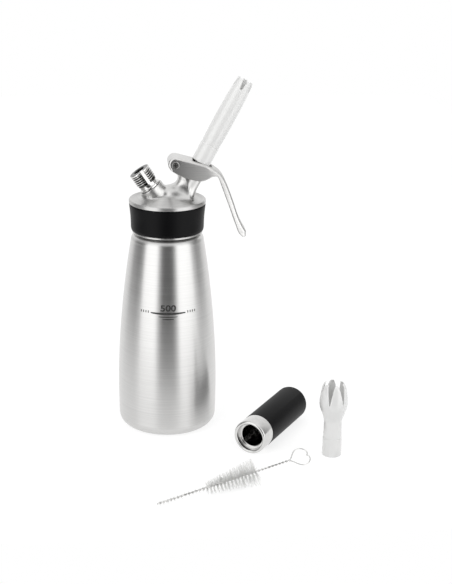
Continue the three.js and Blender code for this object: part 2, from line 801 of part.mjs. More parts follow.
// Nozzles
function nozzleOutline() {
  const swellShares = [[0.13, 0.7], [0.38, 1]];
  const taperShares = [[0.54, 0.94], [0.67, 0.83], [0.79, 0.67], [0.92, 0.36], [1, 0]];
  const middleShare = 0.46;
  const collarTop = nozzleFoot + nozzleCollarLength;
  const heightAt = (up) => THREE.MathUtils.lerp(collarTop, nozzleTip, up);
  const middle = heightAt(middleShare);
  const swell = swellShares.map(([up, out]) => [
    THREE.MathUtils.lerp(nozzleBodyRadius, nozzleMiddleRadius, out), heightAt(up)]);
  const taper = taperShares.map(([up, out]) => [
    THREE.MathUtils.lerp(nozzleTipRadius, nozzleMiddleRadius, out), heightAt(up)]);
  const socketTop = nozzleFoot + insertLength + 2 * clearance;
  return [[socketRadius, nozzleFoot], [nozzleCollarRadius - nozzleGroove, nozzleFoot],
    [nozzleCollarRadius, nozzleFoot + nozzleGroove],
    [nozzleCollarRadius, collarTop - nozzleGroove], [nozzleBodyRadius - nozzleGroove, collarTop],
    [nozzleBodyRadius, collarTop + nozzleGroove]]
    .concat(swell, taper)
    .concat([[nozzleTipRadius - nozzleWall, nozzleTip], [nozzleMiddleRadius - nozzleWall, middle],
      [nozzleBodyRadius - nozzleWall, collarTop],
      [adapterThreadRadius, socketTop + nozzleWall], [adapterThreadRadius, socketTop],
      [socketRadius, socketTop]]);
}

function wedge(rootWidth, mouthWidth, bottom, top, reach) {
  const shape = new THREE.Shape([[-rootWidth / 2, bottom], [rootWidth / 2, bottom],
    [mouthWidth / 2, top], [-mouthWidth / 2, top]].map(([x, z]) => new THREE.Vector2(x, z)));
  return new THREE.ExtrudeGeometry(shape, { depth: reach, bevelEnabled: false }).rotateX(Math.PI / 2);
}

function cutRound(piece, cutter, count) {
  let cut = piece;
  for (let i = 0; i < count; i += 1) {
    cut = cut.subtract(solid(cutter.clone().rotateZ((i / count) * 2 * Math.PI)));
  }
  return cut;
}

function straightNozzle() {
  const slot = wedge(nozzleSlotRootWidth, nozzleSlotWidth, nozzleTip - nozzleSlotLength, nozzleTip + overrun,
    2 * nozzleBodyRadius).rotateZ(nozzleTurn);
  return cutRound(solid(turned(nozzleOutline(), mediumFacets)), slot, nozzleProngs);
}

function nozzleInsert(foot) {
  const bottom = foot + clearance;
  return solid(tube(insertBore, insertRadius, bottom, bottom + insertLength, smallFacets));
}

function tulipOutline() {
  const bulbShares = [[0, 0], [0.12, 0.22], [0.2, 0.42], [0.28, 0.65], [0.4, 0.93], [0.5, 1]];
  const crownShares = [[0.67, 0.89], [0.82, 0.66], [0.95, 0.39], [1, 0]];
  const heightAt = (up) => THREE.MathUtils.lerp(tulipWaistHeight, tulipHeight, up);
  const bulb = bulbShares.map(([up, out]) => [
    THREE.MathUtils.lerp(tulipWaistRadius, tulipBellyRadius, out), heightAt(up)]);
  const crown = crownShares.map(([up, out]) => [
    THREE.MathUtils.lerp(tulipMouthRadius, tulipBellyRadius, out), heightAt(up)]);
  const skin = bulb.concat(crown);
  const lining = skin.map(([radius, height]) => [radius - tulipWall, height]).reverse();
  const socketTop = insertLength + 2 * clearance;
  return [[socketRadius, 0], [tulipFootRadius, 0], [tulipFootRadius, tulipCollarLength - nozzleGroove],
    [tulipFootRadius - nozzleGroove, tulipCollarLength], [tulipFootRadius - nozzleGroove / 2,
      tulipCollarLength + nozzleGroove]]
    .concat(skin).concat(lining)
    .concat([[adapterThreadRadius, socketTop + nozzleWall], [adapterThreadRadius, socketTop],
      [socketRadius, socketTop]]);
}

function tulipNozzle() {
  const mouthWidth = 2 * tulipMouthRadius * Math.tan(Math.PI / tulipPetals) - tulipPetalTip;
  const gap = wedge(tulipGapRootWidth, mouthWidth, tulipGapFoot, tulipHeight + overrun, 2 * tulipBellyRadius);
  return cutRound(solid(turned(tulipOutline(), mediumFacets)), gap, tulipPetals);
}

// Lever, in a frame at the pivot
function leverPlatePoints() {
  const rear = arc(0, 0, leverRearRadius, leverRearDegrees, 90 - THREE.MathUtils.radToDeg(leverPlateTilt), 8);
  const [startX, startZ] = rear[rear.length - 1];
  const along = leverPlateLength;
  const straightEnd = [startX + along * Math.cos(leverPlateTilt), startZ - along * Math.sin(leverPlateTilt)];
  const outerShares = [[0.503, -0.047], [0.591, -0.1], [0.633, -0.137], [0.667, -0.18],
    [0.691, -0.226], [0.731, -0.306], [0.804, -0.489], [0.878, -0.707], [0.934, -0.855], [0.97, -0.931]];
  const outer = outerShares.map(([x, z]) => [x * leverReach, z * leverDrop]);
  return { rear, outer: [straightEnd].concat(outer) };
}

function leverUndersidePoints() {
  const tipShares = [[1, -0.965], [0.998, -0.98], [0.98, -0.995], [0.955, -1], [0.93, -0.99]];
  const handleShares = [[0.868, -0.916], [0.789, -0.683], [0.712, -0.489], [0.601, -0.199]];
  const kneeShares = [[0.587, -0.169], [0.556, -0.16], [0.515, -0.163], [0.474, -0.184], [0.432, -0.207]];
  const cheekShares = [[0.391, -0.22], [0.336, -0.229], [0.186, -0.197], [0.061, -0.151], [-0.03, -0.1]];
  const shares = tipShares.concat(handleShares, kneeShares, cheekShares);
  return shares.map(([x, z]) => [x * leverReach, z * leverDrop]);
}

// The same run of points, moved to its right by a distance.
function offsetRun(points, distance) {
  return points.map(([x, z], i) => {
    const [backX, backZ] = points[Math.max(i - 1, 0)];
    const [nextX, nextZ] = points[Math.min(i + 1, points.length - 1)];
    const length = Math.hypot(nextX - backX, nextZ - backZ);
    return [x + distance * (nextZ - backZ) / length, z - distance * (nextX - backX) / length];
  });
}

function lever() {
  const { rear, outer } = leverPlatePoints();
  const underside = leverUndersidePoints();
  const blank = plateAcross(rear.concat(outer, underside), leverWidth);
  const hollowTop = offsetRun(rear.concat(outer), leverSheet);
  const beyond = offsetRun(rear.concat(outer), leverHollowReach).slice(rear.length).reverse();
  const hollow = plateAcross(hollowTop.concat(beyond, [[-leverRearRadius, -leverHollowReach]]),
    leverWidth - 2 * leverSheet);
  const slotCentre = pivotToValveAxis + (leverSlotFront - leverSlotRear) / 2;
  const slot = block(leverSlotRear + leverSlotFront, leverSlotWidth, 4 * leverSheet)
    .translate(slotCentre, 0, leverRearRadius - leverSheet)
    .rotateY(leverPlateTilt);
  const hole = rod(screwRadius + clearance, -leverWidth, leverWidth, smallFacets).rotateX(Math.PI / 2);
  return solid(blank).subtract(solid(hollow)).subtract(solid(slot)).subtract(solid(hole));
}

function pivotScrew() {
  const cheek = leverWidth / 2 + clearance;
  const shankEnd = cheek + nutThickness - clearance;
  const head = turned([[0, -shankEnd], [screwRadius, -shankEnd], [screwRadius, cheek],
    [screwHeadRadius, cheek], [screwHeadRadius, cheek + screwHeadHeight / 2],
    [screwHeadTopRadius, cheek + screwHeadHeight],
    [0, cheek + screwHeadHeight]], smallFacets);
  const top = cheek + screwHeadHeight;
  const recess = [0, Math.PI / 2].map((turn) => solid(
    block(screwRecessLength, screwRecessWidth, 2 * screwRecessDepth).translate(0, 0, top).rotateZ(turn)));
  return solid(head).subtract(recess[0]).subtract(recess[1]);
}

function pivotNut() {
  const cheek = leverWidth / 2 + clearance;
  const cornerRadius = nutAcrossFlats / Math.sqrt(3);
  return hexNut(screwRadius + clearance, cornerRadius, -cheek - nutThickness, -cheek);
}

// Charger holder, with its mouth at the origin and its bore along +Z
function holderBlank() {
  return turned([[holderThreadRoot, holderMouthDepth + holderMouthChamfer],
    [holderMouthRadius - holderMouthChamfer, holderMouthDepth],
    [holderMouthRadius, holderMouthDepth - holderMouthChamfer],
    [holderMouthRadius, holderMouthChamfer], [holderMouthRadius + holderMouthChamfer, 0],
    [holderRingRadius - holderLipChamfer, 0], [holderRingRadius, holderLipChamfer],
    [holderRingRadius, holderRingLength], [holderTubeRadius, holderRingLength],
    [holderTubeRadius, holderTubeEnd], [0, holderTubeEnd], [0, holderBoreDepth],
    [holderChargerRadius, holderBoreDepth], [holderThreadRoot, holderThreadStart + holderThreadLength]],
  wideFacets);
}

function holderBody() {
  const ridge = threadRidge(holderThreadRoot, -portRidgeDepth / 2, portRidgeRootWidth / 2,
    portRidgeCrestWidth, portPitch, holderThreadTurns, holderThreadStart);
  return solid(holderBlank()).add(solid(ridge));
}

function holderGrip() {
  const inner = holderTubeRadius + clearance;
  const start = holderRingLength + clearance;
  const end = holderTubeEnd + clearance;
  return solid(turned([[0, end], [inner, end], [inner, start],
    [holderRadius - clearance, start], [holderRadius, start + clearance]]
    .concat(arc(holderRadius - holderEndCorner, holderLength - holderEndCorner, holderEndCorner, 0, 90, 4))
    .concat([[0, holderLength]]), mediumFacets));
}

// Cleaning brush, with its tip at the origin and its wire along +Z
function brushRadius(along) {
  const share = (along - brushThinLength) / (brushLength - brushThinLength);
  return share < 0 ? brushThinRadius : THREE.MathUtils.lerp(brushConeStartRadius, brushConeEndRadius, share);
}

function bristle(along, angle) {
  const length = brushRadius(along);
  const strand = new THREE.ConeGeometry(bristleRadius, length, strandSides).translate(0, length / 2, 0);
  return solid(strand.rotateZ(-Math.PI / 2).rotateZ(angle).translate(0, 0, along));
}

function bristleStations() {
  const thin = Array.from({ length: brushThinStations }, (_, i) => THREE.MathUtils.lerp(
    brushMargin, brushThinLength, i / brushThinStations));
  const cone = Array.from({ length: brushConeStations }, (_, i) => THREE.MathUtils.lerp(
    brushThinLength, brushLength - brushMargin, i / (brushConeStations - 1)));
  return thin.concat(cone);
}

function brushBristles() {
  const strands = bristleStations().flatMap((along) => {
    const angle = (along / brushTwistPitch) * 2 * Math.PI;
    return [bristle(along, angle), bristle(along, angle + Math.PI)];
  });
  const core = solid(rod(brushWireRadius, 0, brushLength, coreSides));
  return wasm.Manifold.union([core].concat(strands));
}

// The loop's outline follows a heart curve: its point is at the wire and its dip faces away.
function heartRise(angle) {
  const harmonicShares = [13, -2.5, -1.5, -0.7];
  return harmonicShares.reduce((total, factor, i) => total + factor * Math.cos((i + 1) * angle), 0);
}

class HeartLoop extends THREE.Curve {
  constructor() {
    super();
    const rises = Array.from({ length: loopSteps }, (_, i) => heartRise((i / loopSteps) * 2 * Math.PI));
    this.lowest = Math.min(...rises);
    this.highest = Math.max(...rises);
  }

  getPoint(share, target = new THREE.Vector3()) {
    const angle = Math.PI + share * 2 * Math.PI;
    const across = Math.sin(angle) ** 3 / 2;
    const along = (heartRise(angle) - this.lowest) / (this.highest - this.lowest);
    return target.set(0, across * loopWidth, along * loopLength);
  }
}

function brushWire() {
  const start = brushLength + clearance;
  const end = start + brushHandleLength;
  const loop = tubeAlong(new HeartLoop(), loopWireRadius, loopWireSides, loopSteps)
    .rotateZ(loopRoll)
    .translate(0, 0, end - loopWireRadius);
  return solid(rod(brushWireRadius, start, end, coreSides)).add(solid(loop));
}

// Assembly
function headPieces(port, valve) {
  const screw = placedGroup(pivotX, 0, pivotHeight);
  screw.rotation.x = Math.PI / 2;
  screw.add(mesh('pivot_screw', pivotScrew(), polishedSteel));
  screw.add(mesh('pivot_nut', pivotNut(), polishedSteel));
  return [screw, mesh('head_shell', headShell(port, valve), brushedSteel),
    mesh('head_gasket', headGasket(), sealRubber), mesh('grip_band', gripBand(), blackSilicone)];
}

function portPieces() {
  return [mesh('charger_port', chargerPort(), polishedSteel), mesh('port_gasket', portGasket(), sealRubber),
    mesh('piercing_pin', piercingPin(), polishedSteel), mesh('port_seal', portSeal(), sealRubber),
    mesh('check_valve', checkValve(), sealRubber)];
}

function valvePieces() {
  return [mesh('valve_stem', valveStem(), polishedSteel), mesh('stem_guide', stemGuide(), whitePlastic),
    mesh('guide_oring', guideRing(), sealRubber), mesh('stem_seal', stemSeal(), sealRubber),
    mesh('seal_retainer', sealRetainer(), polishedSteel), mesh('valve_spring', valveSpring(), polishedSteel),
    mesh('nozzle_adapter', nozzleAdapter(), polishedSteel),
    mesh('straight_nozzle', straightNozzle(), whitePlastic),
    mesh('nozzle_insert', nozzleInsert(nozzleFoot), polishedSteel)];
}

function leverGroup() {
  const group = placedGroup(pivotX, 0, pivotHeight);
  group.add(mesh('lever', lever(), brushedSteel));
  return group;
}

function tulipGroup() {
  const group = placedGroup(tulipX, tulipY, 0);
  group.rotation.z = tulipTurn;
  group.add(mesh('tulip_nozzle', tulipNozzle(), whitePlastic));
  group.add(mesh('tulip_insert', nozzleInsert(0), polishedSteel));
  return group;
}

function lyingGroup(x, y, z, yaw, pitch, pieces) {
  const outer = placedGroup(x, y, z);
  outer.rotation.z = yaw;
  const inner = new THREE.Group();
  inner.rotation.y = Math.PI / 2 - pitch;
  inner.add(...pieces);
  outer.add(inner);
  return outer;
}

function holderGroup() {
  const pieces = [mesh('holder_body', holderBody(), brushedSteel),
    mesh('holder_grip', holderGrip(), blackSilicone)];
  return lyingGroup(holderX, holderY, holderRadius, holderYaw, 0, pieces);
}

function brushGroup() {
  const pieces = [mesh('brush_wire', brushWire(), polishedSteel),
    mesh('brush_bristles', brushBristles(), clearNylon)];
  return lyingGroup(brushX, brushY, brushTipHeight, brushYaw, brushPitch, pieces);
}

function dispenser() {
  const port = portGroup();
  const valve = valveGroup();
  const group = new THREE.Group();
  group.add(mesh('bottle_shell', bottleShell(), brushedSteel), ...headPieces(port, valve), port, valve);
  port.add(...portPieces());
  valve.add(...valvePieces());
  group.add(leverGroup(), tulipGroup(), holderGroup(), brushGroup());
  return group;
}

export default dispenser();
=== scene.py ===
"""The looks of a whipped cream dispenser and its set pieces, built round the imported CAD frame.

Shapes are written in millimetres, each in the frame of the piece that carries it, and become metres
when their mesh is made. +Z is up, +X points along the lever and -Y points toward the camera.
"""

import math

import bpy
import numpy as np
from mathutils import Euler, Matrix, Vector


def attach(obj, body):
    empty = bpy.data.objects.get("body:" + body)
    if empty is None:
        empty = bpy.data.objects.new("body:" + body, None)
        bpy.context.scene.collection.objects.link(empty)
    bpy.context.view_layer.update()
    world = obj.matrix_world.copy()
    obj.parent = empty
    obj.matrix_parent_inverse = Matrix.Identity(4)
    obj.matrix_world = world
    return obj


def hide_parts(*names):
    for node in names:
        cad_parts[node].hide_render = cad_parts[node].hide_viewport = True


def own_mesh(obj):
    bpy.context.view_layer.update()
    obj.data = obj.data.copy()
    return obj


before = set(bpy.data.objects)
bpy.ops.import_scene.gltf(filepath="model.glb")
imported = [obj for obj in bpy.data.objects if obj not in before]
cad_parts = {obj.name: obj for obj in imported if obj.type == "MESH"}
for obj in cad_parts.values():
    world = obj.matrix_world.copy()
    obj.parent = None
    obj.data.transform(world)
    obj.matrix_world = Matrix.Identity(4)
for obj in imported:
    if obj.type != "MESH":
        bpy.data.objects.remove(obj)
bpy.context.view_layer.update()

MM = 0.001

# Camera, at the photograph's viewing angle
CAMERA_PLACE = (-0.05661, -1.08547, 0.48666)
CAMERA_YAW = math.radians(5.662)
CAMERA_PITCH = math.radians(18.649)
CAMERA_ROLL = math.radians(0.862)
CAMERA_LENS = 81.6
CAMERA_SENSOR = 36

# Facets, grid cells and the room round a grid
ROUND_SEGMENTS = 192
PORT_SEGMENTS = 288
SMALL_SEGMENTS = 96
THREAD_STEP = 0.12
PORT_THREAD_STEP = 0.09
THREAD_MARGIN = 0.1
SAME_RADIUS = 0.01
HEAD_CELL = 0.45
LEVER_CELL = 0.4
TIP_CELL = 0.3
ADAPTER_CELL = 0.22
SMALL_CELL = 0.16
WIDE_MARGIN = 1.0
GRID_MARGIN = 0.6
FINE_MARGIN = 0.5
SHARP_ANGLE = math.radians(38)

# Roundings, gaps and overruns that several pieces share
ROUND_EDGE = 0.7
BROAD_EDGE = 0.6
FULL_EDGE = 0.5
SOFT_EDGE = 0.4
CUT_EDGE = 0.35
PLAIN_EDGE = 0.3
THIN_EDGE = 0.25
FINE_EDGE = 0.2
SLIGHT_EDGE = 0.15
TINY_EDGE = 0.1
CLEARANCE = 0.3
OVERRUN = 2.0
PAST_AXIS = -4.0

# Bottle
FOOT_RADIUS = 32.5
FOOT_CORNER = 9.8
FOOT_RECESS = 1.1
FOOT_RECESS_RADIUS = 29.0
FOOT_RECESS_SLOPE = 2.0
FOOT_WALL = 1.2
BELLY_RADIUS = 42.7
BELLY_HEIGHT = 37.7
SIDE_TOP_RADIUS = 31.2
SIDE_TOP_HEIGHT = 167.6
SIDE_TAPER_POWER = 1.85
SHOULDER_TOP_HEIGHT = 173.7
BOTTLE_WALL = 1.0
NECK_RADIUS = 24.3
NECK_WALL = 1.5
NECK_LIP_HEIGHT = 191.0
NECK_PITCH = 4.0
NECK_TURNS = 2
NECK_RIDGE = 1.0
NECK_RIDGE_ROOT = 1.4
NECK_RIDGE_CREST = 0.6
NECK_THREAD = (NECK_PITCH, NECK_TURNS, NECK_RIDGE, NECK_RIDGE_ROOT, NECK_RIDGE_CREST)
NECK_THREAD_START = 177.0
NECK_THREAD_LOW = 174.4
NECK_THREAD_HIGH = 188.0

# Head
HEAD_BORE_RADIUS = 25.9
GASKET_SEAT_HEIGHT = 193.3
CEILING_HEIGHT = 196.0
SEAT_WIDTH = 4.2
GASKET_BORE = 23.2
CAVITY_OVERRUN = 3.0
HEAD_THREAD_LOW = 177.6
HEAD_THREAD_HIGH = 189.6
HEAD_THREAD_SUNK = 0.12
SKIRT_RADIUS = 29.2
SKIRT_BOTTOM = 174.7
FLANGE_RADIUS = 30.0
FLANGE_TOP = 176.2
RIM_RADIUS = 32.6
RIM_BOTTOM = 200.0
RIM_TOP = 203.2
RIM_BEAD = 1.2
SPUN_TOP = 207.0
CAST_FOOT = 208.5
LID_HEIGHT = 202.2
DISH_RADIUS = 23.0
DISH_SLOPE = 5.5
DISH_RISE = 0.35
LID_BLEND = 0.6
HUB_RADIUS = 27.5
HUB_TOP_RADIUS = 6.0
HUB_RISE = 5.6
HUB_SUNK = 4.0
SADDLE_TOP = 213.9
SADDLE_FOOT = 204.5
SADDLE_HALF_WIDTH = 8.9
SADDLE_REAR = -12.0
SADDLE_FRONT = 17.0
SADDLE_POWER = 3.0
SADDLE_BLEND = 1.5
BOSS_RADIUS = 10.5
BOSS_TOP = 10.7
BOSS_LIP = 11.9
BOSS_SEAT_RADIUS = 9.3
BOSS_ROOT = 14.0
BOSS_BLEND = 2.2
PIPE_RADIUS = 7.7
PIPE_TOP = 1.7
PIPE_ROOT = 29.4
PIPE_FLARE = 3.6
PIPE_FLARE_HEIGHT = 7.0
PIPE_STRAIGHT = 4.0
NECK_BLEND = 3.0
NECK_REAR_STRETCH = 1.3
NECK_SIDE_STRETCH = 1.03
NECK_POWER = 3.2
EAR_RADIUS = 4.3
EAR_WIDTH = 17.0
EAR_FOOT = 14.0
EAR_BACK = (-6.0, -9.5)
EAR_BLEND = 6.0
EAR_EDGE = 7.5
EAR_ROOM = 0.4
CHEEK_DEPTH = 13.0
SPRING_POCKET_RADIUS = 6.3
SPRING_POCKET_DEPTH = 20.7
STEM_PASSAGE_RADIUS = 3.6
VALVE_SEAT_DEPTH = 33.66
VALVE_BOSS_RADIUS = 8.0
VALVE_BOSS_LENGTH = 5.0
VALVE_POCKET_RADIUS = 8.8
VALVE_POCKET_DEPTH = 8.0
PORT_SOCKET_RADIUS = 6.3
PORT_SOCKET_FOOT = 1.5
GAS_PASSAGE_RADIUS = 1.5
PIVOT_HOLE_RADIUS = 2.3

# Silicone band: out from its bore, height and fillet
BAND_POINTS = ((0, 176.5, 0.3), (1.0, 176.5, 1.0), (1.55, 178.3, 3), (1.75, 188, 9), (2.9, 198.6, 1.0),
               (2.7, 199.7, 0.5), (0, 199.7, 0.3))

# Places and tilts
PORT_PLACE = (-7.5, 0, 203.0)
PORT_TILT = math.radians(-34)
PIVOT_PLACE = (6.3, 0, 234.2)
PIVOT_TO_VALVE = 19.2
VALVE_TILT = math.radians(28)
VALVE_PLACE = (PIVOT_PLACE[0] + PIVOT_TO_VALVE * math.cos(VALVE_TILT), 0,
               PIVOT_PLACE[2] - PIVOT_TO_VALVE * math.sin(VALVE_TILT))
TULIP_PLACE = (134.8, -81.1, 0)
TULIP_TURN = math.radians(33)
HOLDER_PLACE = (65.1, -76.7, 14.75)
HOLDER_YAW = math.radians(57.8)
BRUSH_PLACE = (-16.8, -166.6, 2.5)
BRUSH_YAW = math.radians(20.7)
BRUSH_PITCH = math.radians(6.8)

# Charger port
PORT_RADIUS = 9.25
PORT_SEAT = 12.1
PORT_COLLAR_TOP = 13.6
PORT_UNDERCUT_TOP = 16.8
PORT_UNDERCUT_RADIUS = 7.9
PORT_UNDERCUT_FILLET = 0.8
PORT_LENGTH = 29.4
PORT_LIP = 1.9
PORT_CHAMFER = 0.5
PORT_BORE_RADIUS = 4.75
PORT_SPIGOT_RADIUS = 6.0
PORT_SPIGOT_FOOT = 5.0
PORT_RIDGE = 0.9
PORT_RIDGE_ROOT = 1.3
PORT_RIDGE_CREST = 0.35
PORT_PITCH = 1.85
PORT_TURNS = 5
PORT_THREAD = (PORT_PITCH, PORT_TURNS, PORT_RIDGE, PORT_RIDGE_ROOT, PORT_RIDGE_CREST)
PORT_THREAD_START = 18.1
VENT_ANGLE = math.radians(-74)
VENT_WIDTH = 3.0
VENT_DEPTH = 1.2
PORT_SEAL_HEIGHT = 2.0
CHECK_BORE = 0.6

# Piercing pin, with its heights above the port's collar
PIN_BORE = 0.45
PIN_RADIUS = 1.0
PIN_TIP_RADIUS = 0.55
PIN_TIP_EDGE = 0.05
PIN_HEIGHTS = (0.3, 2.3, 5.9, 7.5)

# Lever
LEVER_WIDTH = 22.0
LEVER_SHEET = 1.6
LEVER_REAR_RADIUS = 6.2
LEVER_REAR_DEGREES = 224
LEVER_TILT = math.radians(14.6)
LEVER_PLATE = 24.0
LEVER_REACH = 60.7
LEVER_DROP = 63.4
LEVER_BEND = 2.6
LEVER_HOLLOW_REACH = 24.8
LEVER_HOLLOW_DROP = 9.0
LEVER_FAR = 30.0
LEVER_LEAN = 0.24
LEVER_LEAN_DEPTH = 7.5
LEVER_LEAN_START = 26.0
LEVER_LEAN_RUN = 14.0
LEVER_EDGE = 0.75
LEVER_SLOT_LENGTH = 16.9
LEVER_SLOT_WIDTH = 16.8
LEVER_SLOT_CORNER = 4.5
LEVER_SLOT_CENTRE = 22.35

# The handle's side outline, as shares of the lever's reach and drop
LEVER_OUTER_SHARES = [(0.503, -0.047), (0.591, -0.1), (0.633, -0.137), (0.667, -0.18), (0.691, -0.226),
                      (0.731, -0.306), (0.804, -0.489), (0.878, -0.707), (0.945, -0.845), (0.995, -0.921)]
LEVER_UNDER_SHARES = [(1.02, -0.955), (1.015, -0.975), (0.99, -0.995), (0.955, -1), (0.93, -0.99),
                      (0.868, -0.916), (0.789, -0.683), (0.712, -0.489), (0.601, -0.199), (0.587, -0.169),
                      (0.556, -0.16), (0.515, -0.163), (0.474, -0.184), (0.432, -0.207), (0.391, -0.22),
                      (0.336, -0.229), (0.186, -0.197), (0.061, -0.151), (-0.03, -0.1)]

# Pivot screw and the two nuts
SCREW_SEAT = LEVER_WIDTH / 2 + CLEARANCE
SCREW_RADIUS = 2.0
SCREW_END = 2.3
SCREW_HEAD_RADIUS = 3.1
SCREW_HEAD_HEIGHT = 1.2
CROSS_SUNK = 0.6
CROSS_HALF_WIDTH = 0.42
CROSS_REACH = 1.75
CROSS_EDGE = 0.12
# Heights above the seat between which the cross recess's painted shade fades in
CROSS_SHADE = (0.95, 0.65)
NUT_RADIUS = 3.7
NUT_HEIGHT = 2.6
NUT_CHAMFER = 0.75
NUT_CHAMFER_SLOPE = 1.7
RETAINER_RADIUS = 4.9
RETAINER_RISE = 0.1
RETAINER_HEIGHT = 1.4

# Valve train and adapter, along the valve axis
STEM_RADIUS = 3.2
STEM_BORE = 1.6
STEM_TOP = 9.1
STEM_BOTTOM = -37.36
STEM_BORE_FOOT = -29.4
STEM_SEAL_RADIUS = 6.4
STEM_SEAL_HEIGHT = 1.6
GUIDE_LENGTH = 4.7
ORING_THICKNESS = 1.5
FLANGE_LENGTH = 18.2
FLANGE_WIDTH = 8.0
FLANGE_LOW = 5.8
FLANGE_HIGH = 8.0
FLANGE_ROOM = 0.5
ADAPTER_NECK_RADIUS = 4.8
ADAPTER_THREAD_RADIUS = 5.9
ADAPTER_THREAD_FOOT = 10.9
ADAPTER_TOP = 20.1
ADAPTER_BORE = 2.2
ADAPTER_PITCH = 1.0
ADAPTER_WAVE = 0.3
ADAPTER_OVERRUN = 1.0
ADAPTER_GRID_HALF = 6.0
WAVE_SLOPE_SHARE = 0.7
SPRING_RADIUS = 4.9
SPRING_WIRE = 0.6
SPRING_BOTTOM = -11.3
SPRING_TOP = 4.9
SPRING_TURNS = 7

# Nozzles
NOZZLE_FOOT = 10.6
NOZZLE_TIP = 88.3
NOZZLE_COLLAR_RADIUS = 8.15
NOZZLE_COLLAR_TOP = 27.1
NOZZLE_BODY_RADIUS = 7.95
NOZZLE_MIDDLE_RADIUS = 8.5
NOZZLE_TIP_RADIUS = 6.7
NOZZLE_WALL = 1.3
NOZZLE_SLOT_LENGTH = 8.2
NOZZLE_SLOT_MOUTH = 4.6
NOZZLE_SLOT_ROOT = 1.4
NOZZLE_PRONGS = 5
NOZZLE_TURN = math.radians(-8)
INSERT_BORE = 6.2
INSERT_RADIUS = 7.0
INSERT_LENGTH = 9.5
SOCKET_RADIUS = 7.3
SOCKET_DEPTH = 10.1
COLLAR_GROOVE = 0.35
GAP_OVERRUN = 1.0
TULIP_HEIGHT = 64.6
TULIP_FOOT_RADIUS = 8.1
TULIP_COLLAR_TOP = 16.0
TULIP_WAIST_RADIUS = 7.55
TULIP_WAIST_HEIGHT = 30.5
TULIP_BELLY_RADIUS = 12.0
TULIP_MOUTH_RADIUS = 8.2
TULIP_GAP_FOOT = 48.0
TULIP_GAP_ROOT = 0.3
TULIP_PETALS = 6
TULIP_PETAL_TIP = 3.4

# The nozzles' outer runs, as shares of the way out and of the way up
NOZZLE_SWELL_SHARES = [(0.7, 0.13), (1, 0.38)]
NOZZLE_TAPER_SHARES = [(0.94, 0.54), (0.83, 0.67), (0.67, 0.79), (0.36, 0.92), (0, 1)]
TULIP_BULB_SHARES = [(0, 0), (0.22, 0.12), (0.42, 0.2), (0.65, 0.28), (0.93, 0.4), (1, 0.5)]
TULIP_CROWN_SHARES = [(0.89, 0.67), (0.66, 0.82), (0.39, 0.95), (0, 1)]

# Charger holder
HOLDER_RADIUS = 14.75
HOLDER_RING_RADIUS = 14.6
HOLDER_RING_LENGTH = 15.5
HOLDER_TUBE_RADIUS = 11.6
HOLDER_TUBE_END = 86.35
HOLDER_LENGTH = 89.5
HOLDER_BORE_DEPTH = 82.5
HOLDER_BORE_FILLET = 3.0
HOLDER_CHARGER_RADIUS = 9.5
HOLDER_ENTRY_RADIUS = 9.55
HOLDER_ENTRY_DEPTH = 21.0
HOLDER_MOUTH_RADIUS = 11.7
HOLDER_MOUTH_DEPTH = 5.0
HOLDER_MOUTH_CHAMFER = 0.7
HOLDER_STEP_CHAMFER = 0.4
HOLDER_LIP_CHAMFER = 1.0
HOLDER_END_CORNER = 5.0

# Cleaning brush
BRUSH_LENGTH = 87.2
BRUSH_THIN_LENGTH = 43.0
BRUSH_THIN_RADIUS = 2.2
BRUSH_THIN_START = 2.0
BRUSH_WIRE_START = 0.3
BRUSH_CONE_START = 5.5
BRUSH_CONE_END = 12.5
BRUSH_END_ROOM = 0.8
BRUSH_STRANDS = 1900
BRUSH_THIN_STRANDS = 420
BRUSH_STRAND_RADIUS = 0.1
STRAND_SEED = 7
STRAND_TURN_SPREAD = 0.3
STRAND_LEAN_SPREAD = 0.05
STRAND_LENGTH_SHARES = (0.9, 1.0)
BRUSH_TWIST = 6.2
BRUSH_HANDLE_END = 117.5
BRUSH_WIRE = 0.5
LOOP_LENGTH = 17.7
LOOP_WIDTH = 15.7
LOOP_ROLL = math.radians(31)

# A strand's rings: shares of its length and of its width
STRAND_RING_SHARES = ((0.05, 1.0), (0.55, 0.9), (1.0, 0.45))

# The heart's length as a sum of cosines
HEART_SHARES = (13, -2.5, -1.5, -0.7)

# Fill mark on the bottle
MARK_HEIGHT = 113.8
MARK_HALF_WIDTH = 16.0
MARK_THICKNESS = 1.9
MARK_TURN = -0.035
MARK_WRAP_SHARE = 1.04
MARK_END_SHARE = 0.5
MARK_ROWS = ((8.6, 3.4), (5.0, 5.4))
ROW_THICKNESS = 0.75
ROW_END_SHARE = 0.6
MARK_LIFT = 0.04
MARK_DEPTH = 0.08
TICK_GAP = 2.4
TICK_START_SHARE = 0.8
TICK_LENGTH = 0.9
TICK_COUNT = 4
TICK_THICKNESS = 1.0
NUMBER_SIZE = 7.4
NUMBER_RISE = 1.3
NUMBER_STRETCH = 1.3
NUMBER_WEIGHT = 0.22

# Studio, in metres
FLOOR_LEFT = -0.5
FLOOR_RIGHT = 0.62
FLOOR_FRONT = -0.215
FLOOR_BACK = 1.6
FLOOR_WHITE = 0.8
FLOOR_SHADOW_WHITE = 0.3
FLOOR_GLOW = 0.78
STUDIO_LEVEL = 1.7
DAYLIGHT_LEVEL = 0.78
OVERHEAD_LEVEL = 0.62
OVERHEAD_SHARES = (0.45, 0.8)

# The studio's brightness by direction: degrees from the camera's side, positive toward +X
STUDIO_SHARES = [(-180, 0.6), (-136, 0.5), (-112, 0.16), (-90, 0.08), (-78, 0.22), (-68, 1.0), (-34, 1.0),
                 (-24, 0.3), (-16, 0.03), (12, 0.03), (20, 0.35), (28, 1.0), (66, 1.0), (80, 0.36),
                 (92, 0.14), (106, 0.2), (126, 0.5), (154, 0.58), (180, 0.6)]

# Soft lamps: place, width and power
LAMPS = {"key": ((-0.55, -0.7, 0.95), 0.6, 3.4), "fill": ((0.85, -0.45, 0.7), 0.6, 1.8)}
LAMP_TARGET = (0.03, 0, 0.12)


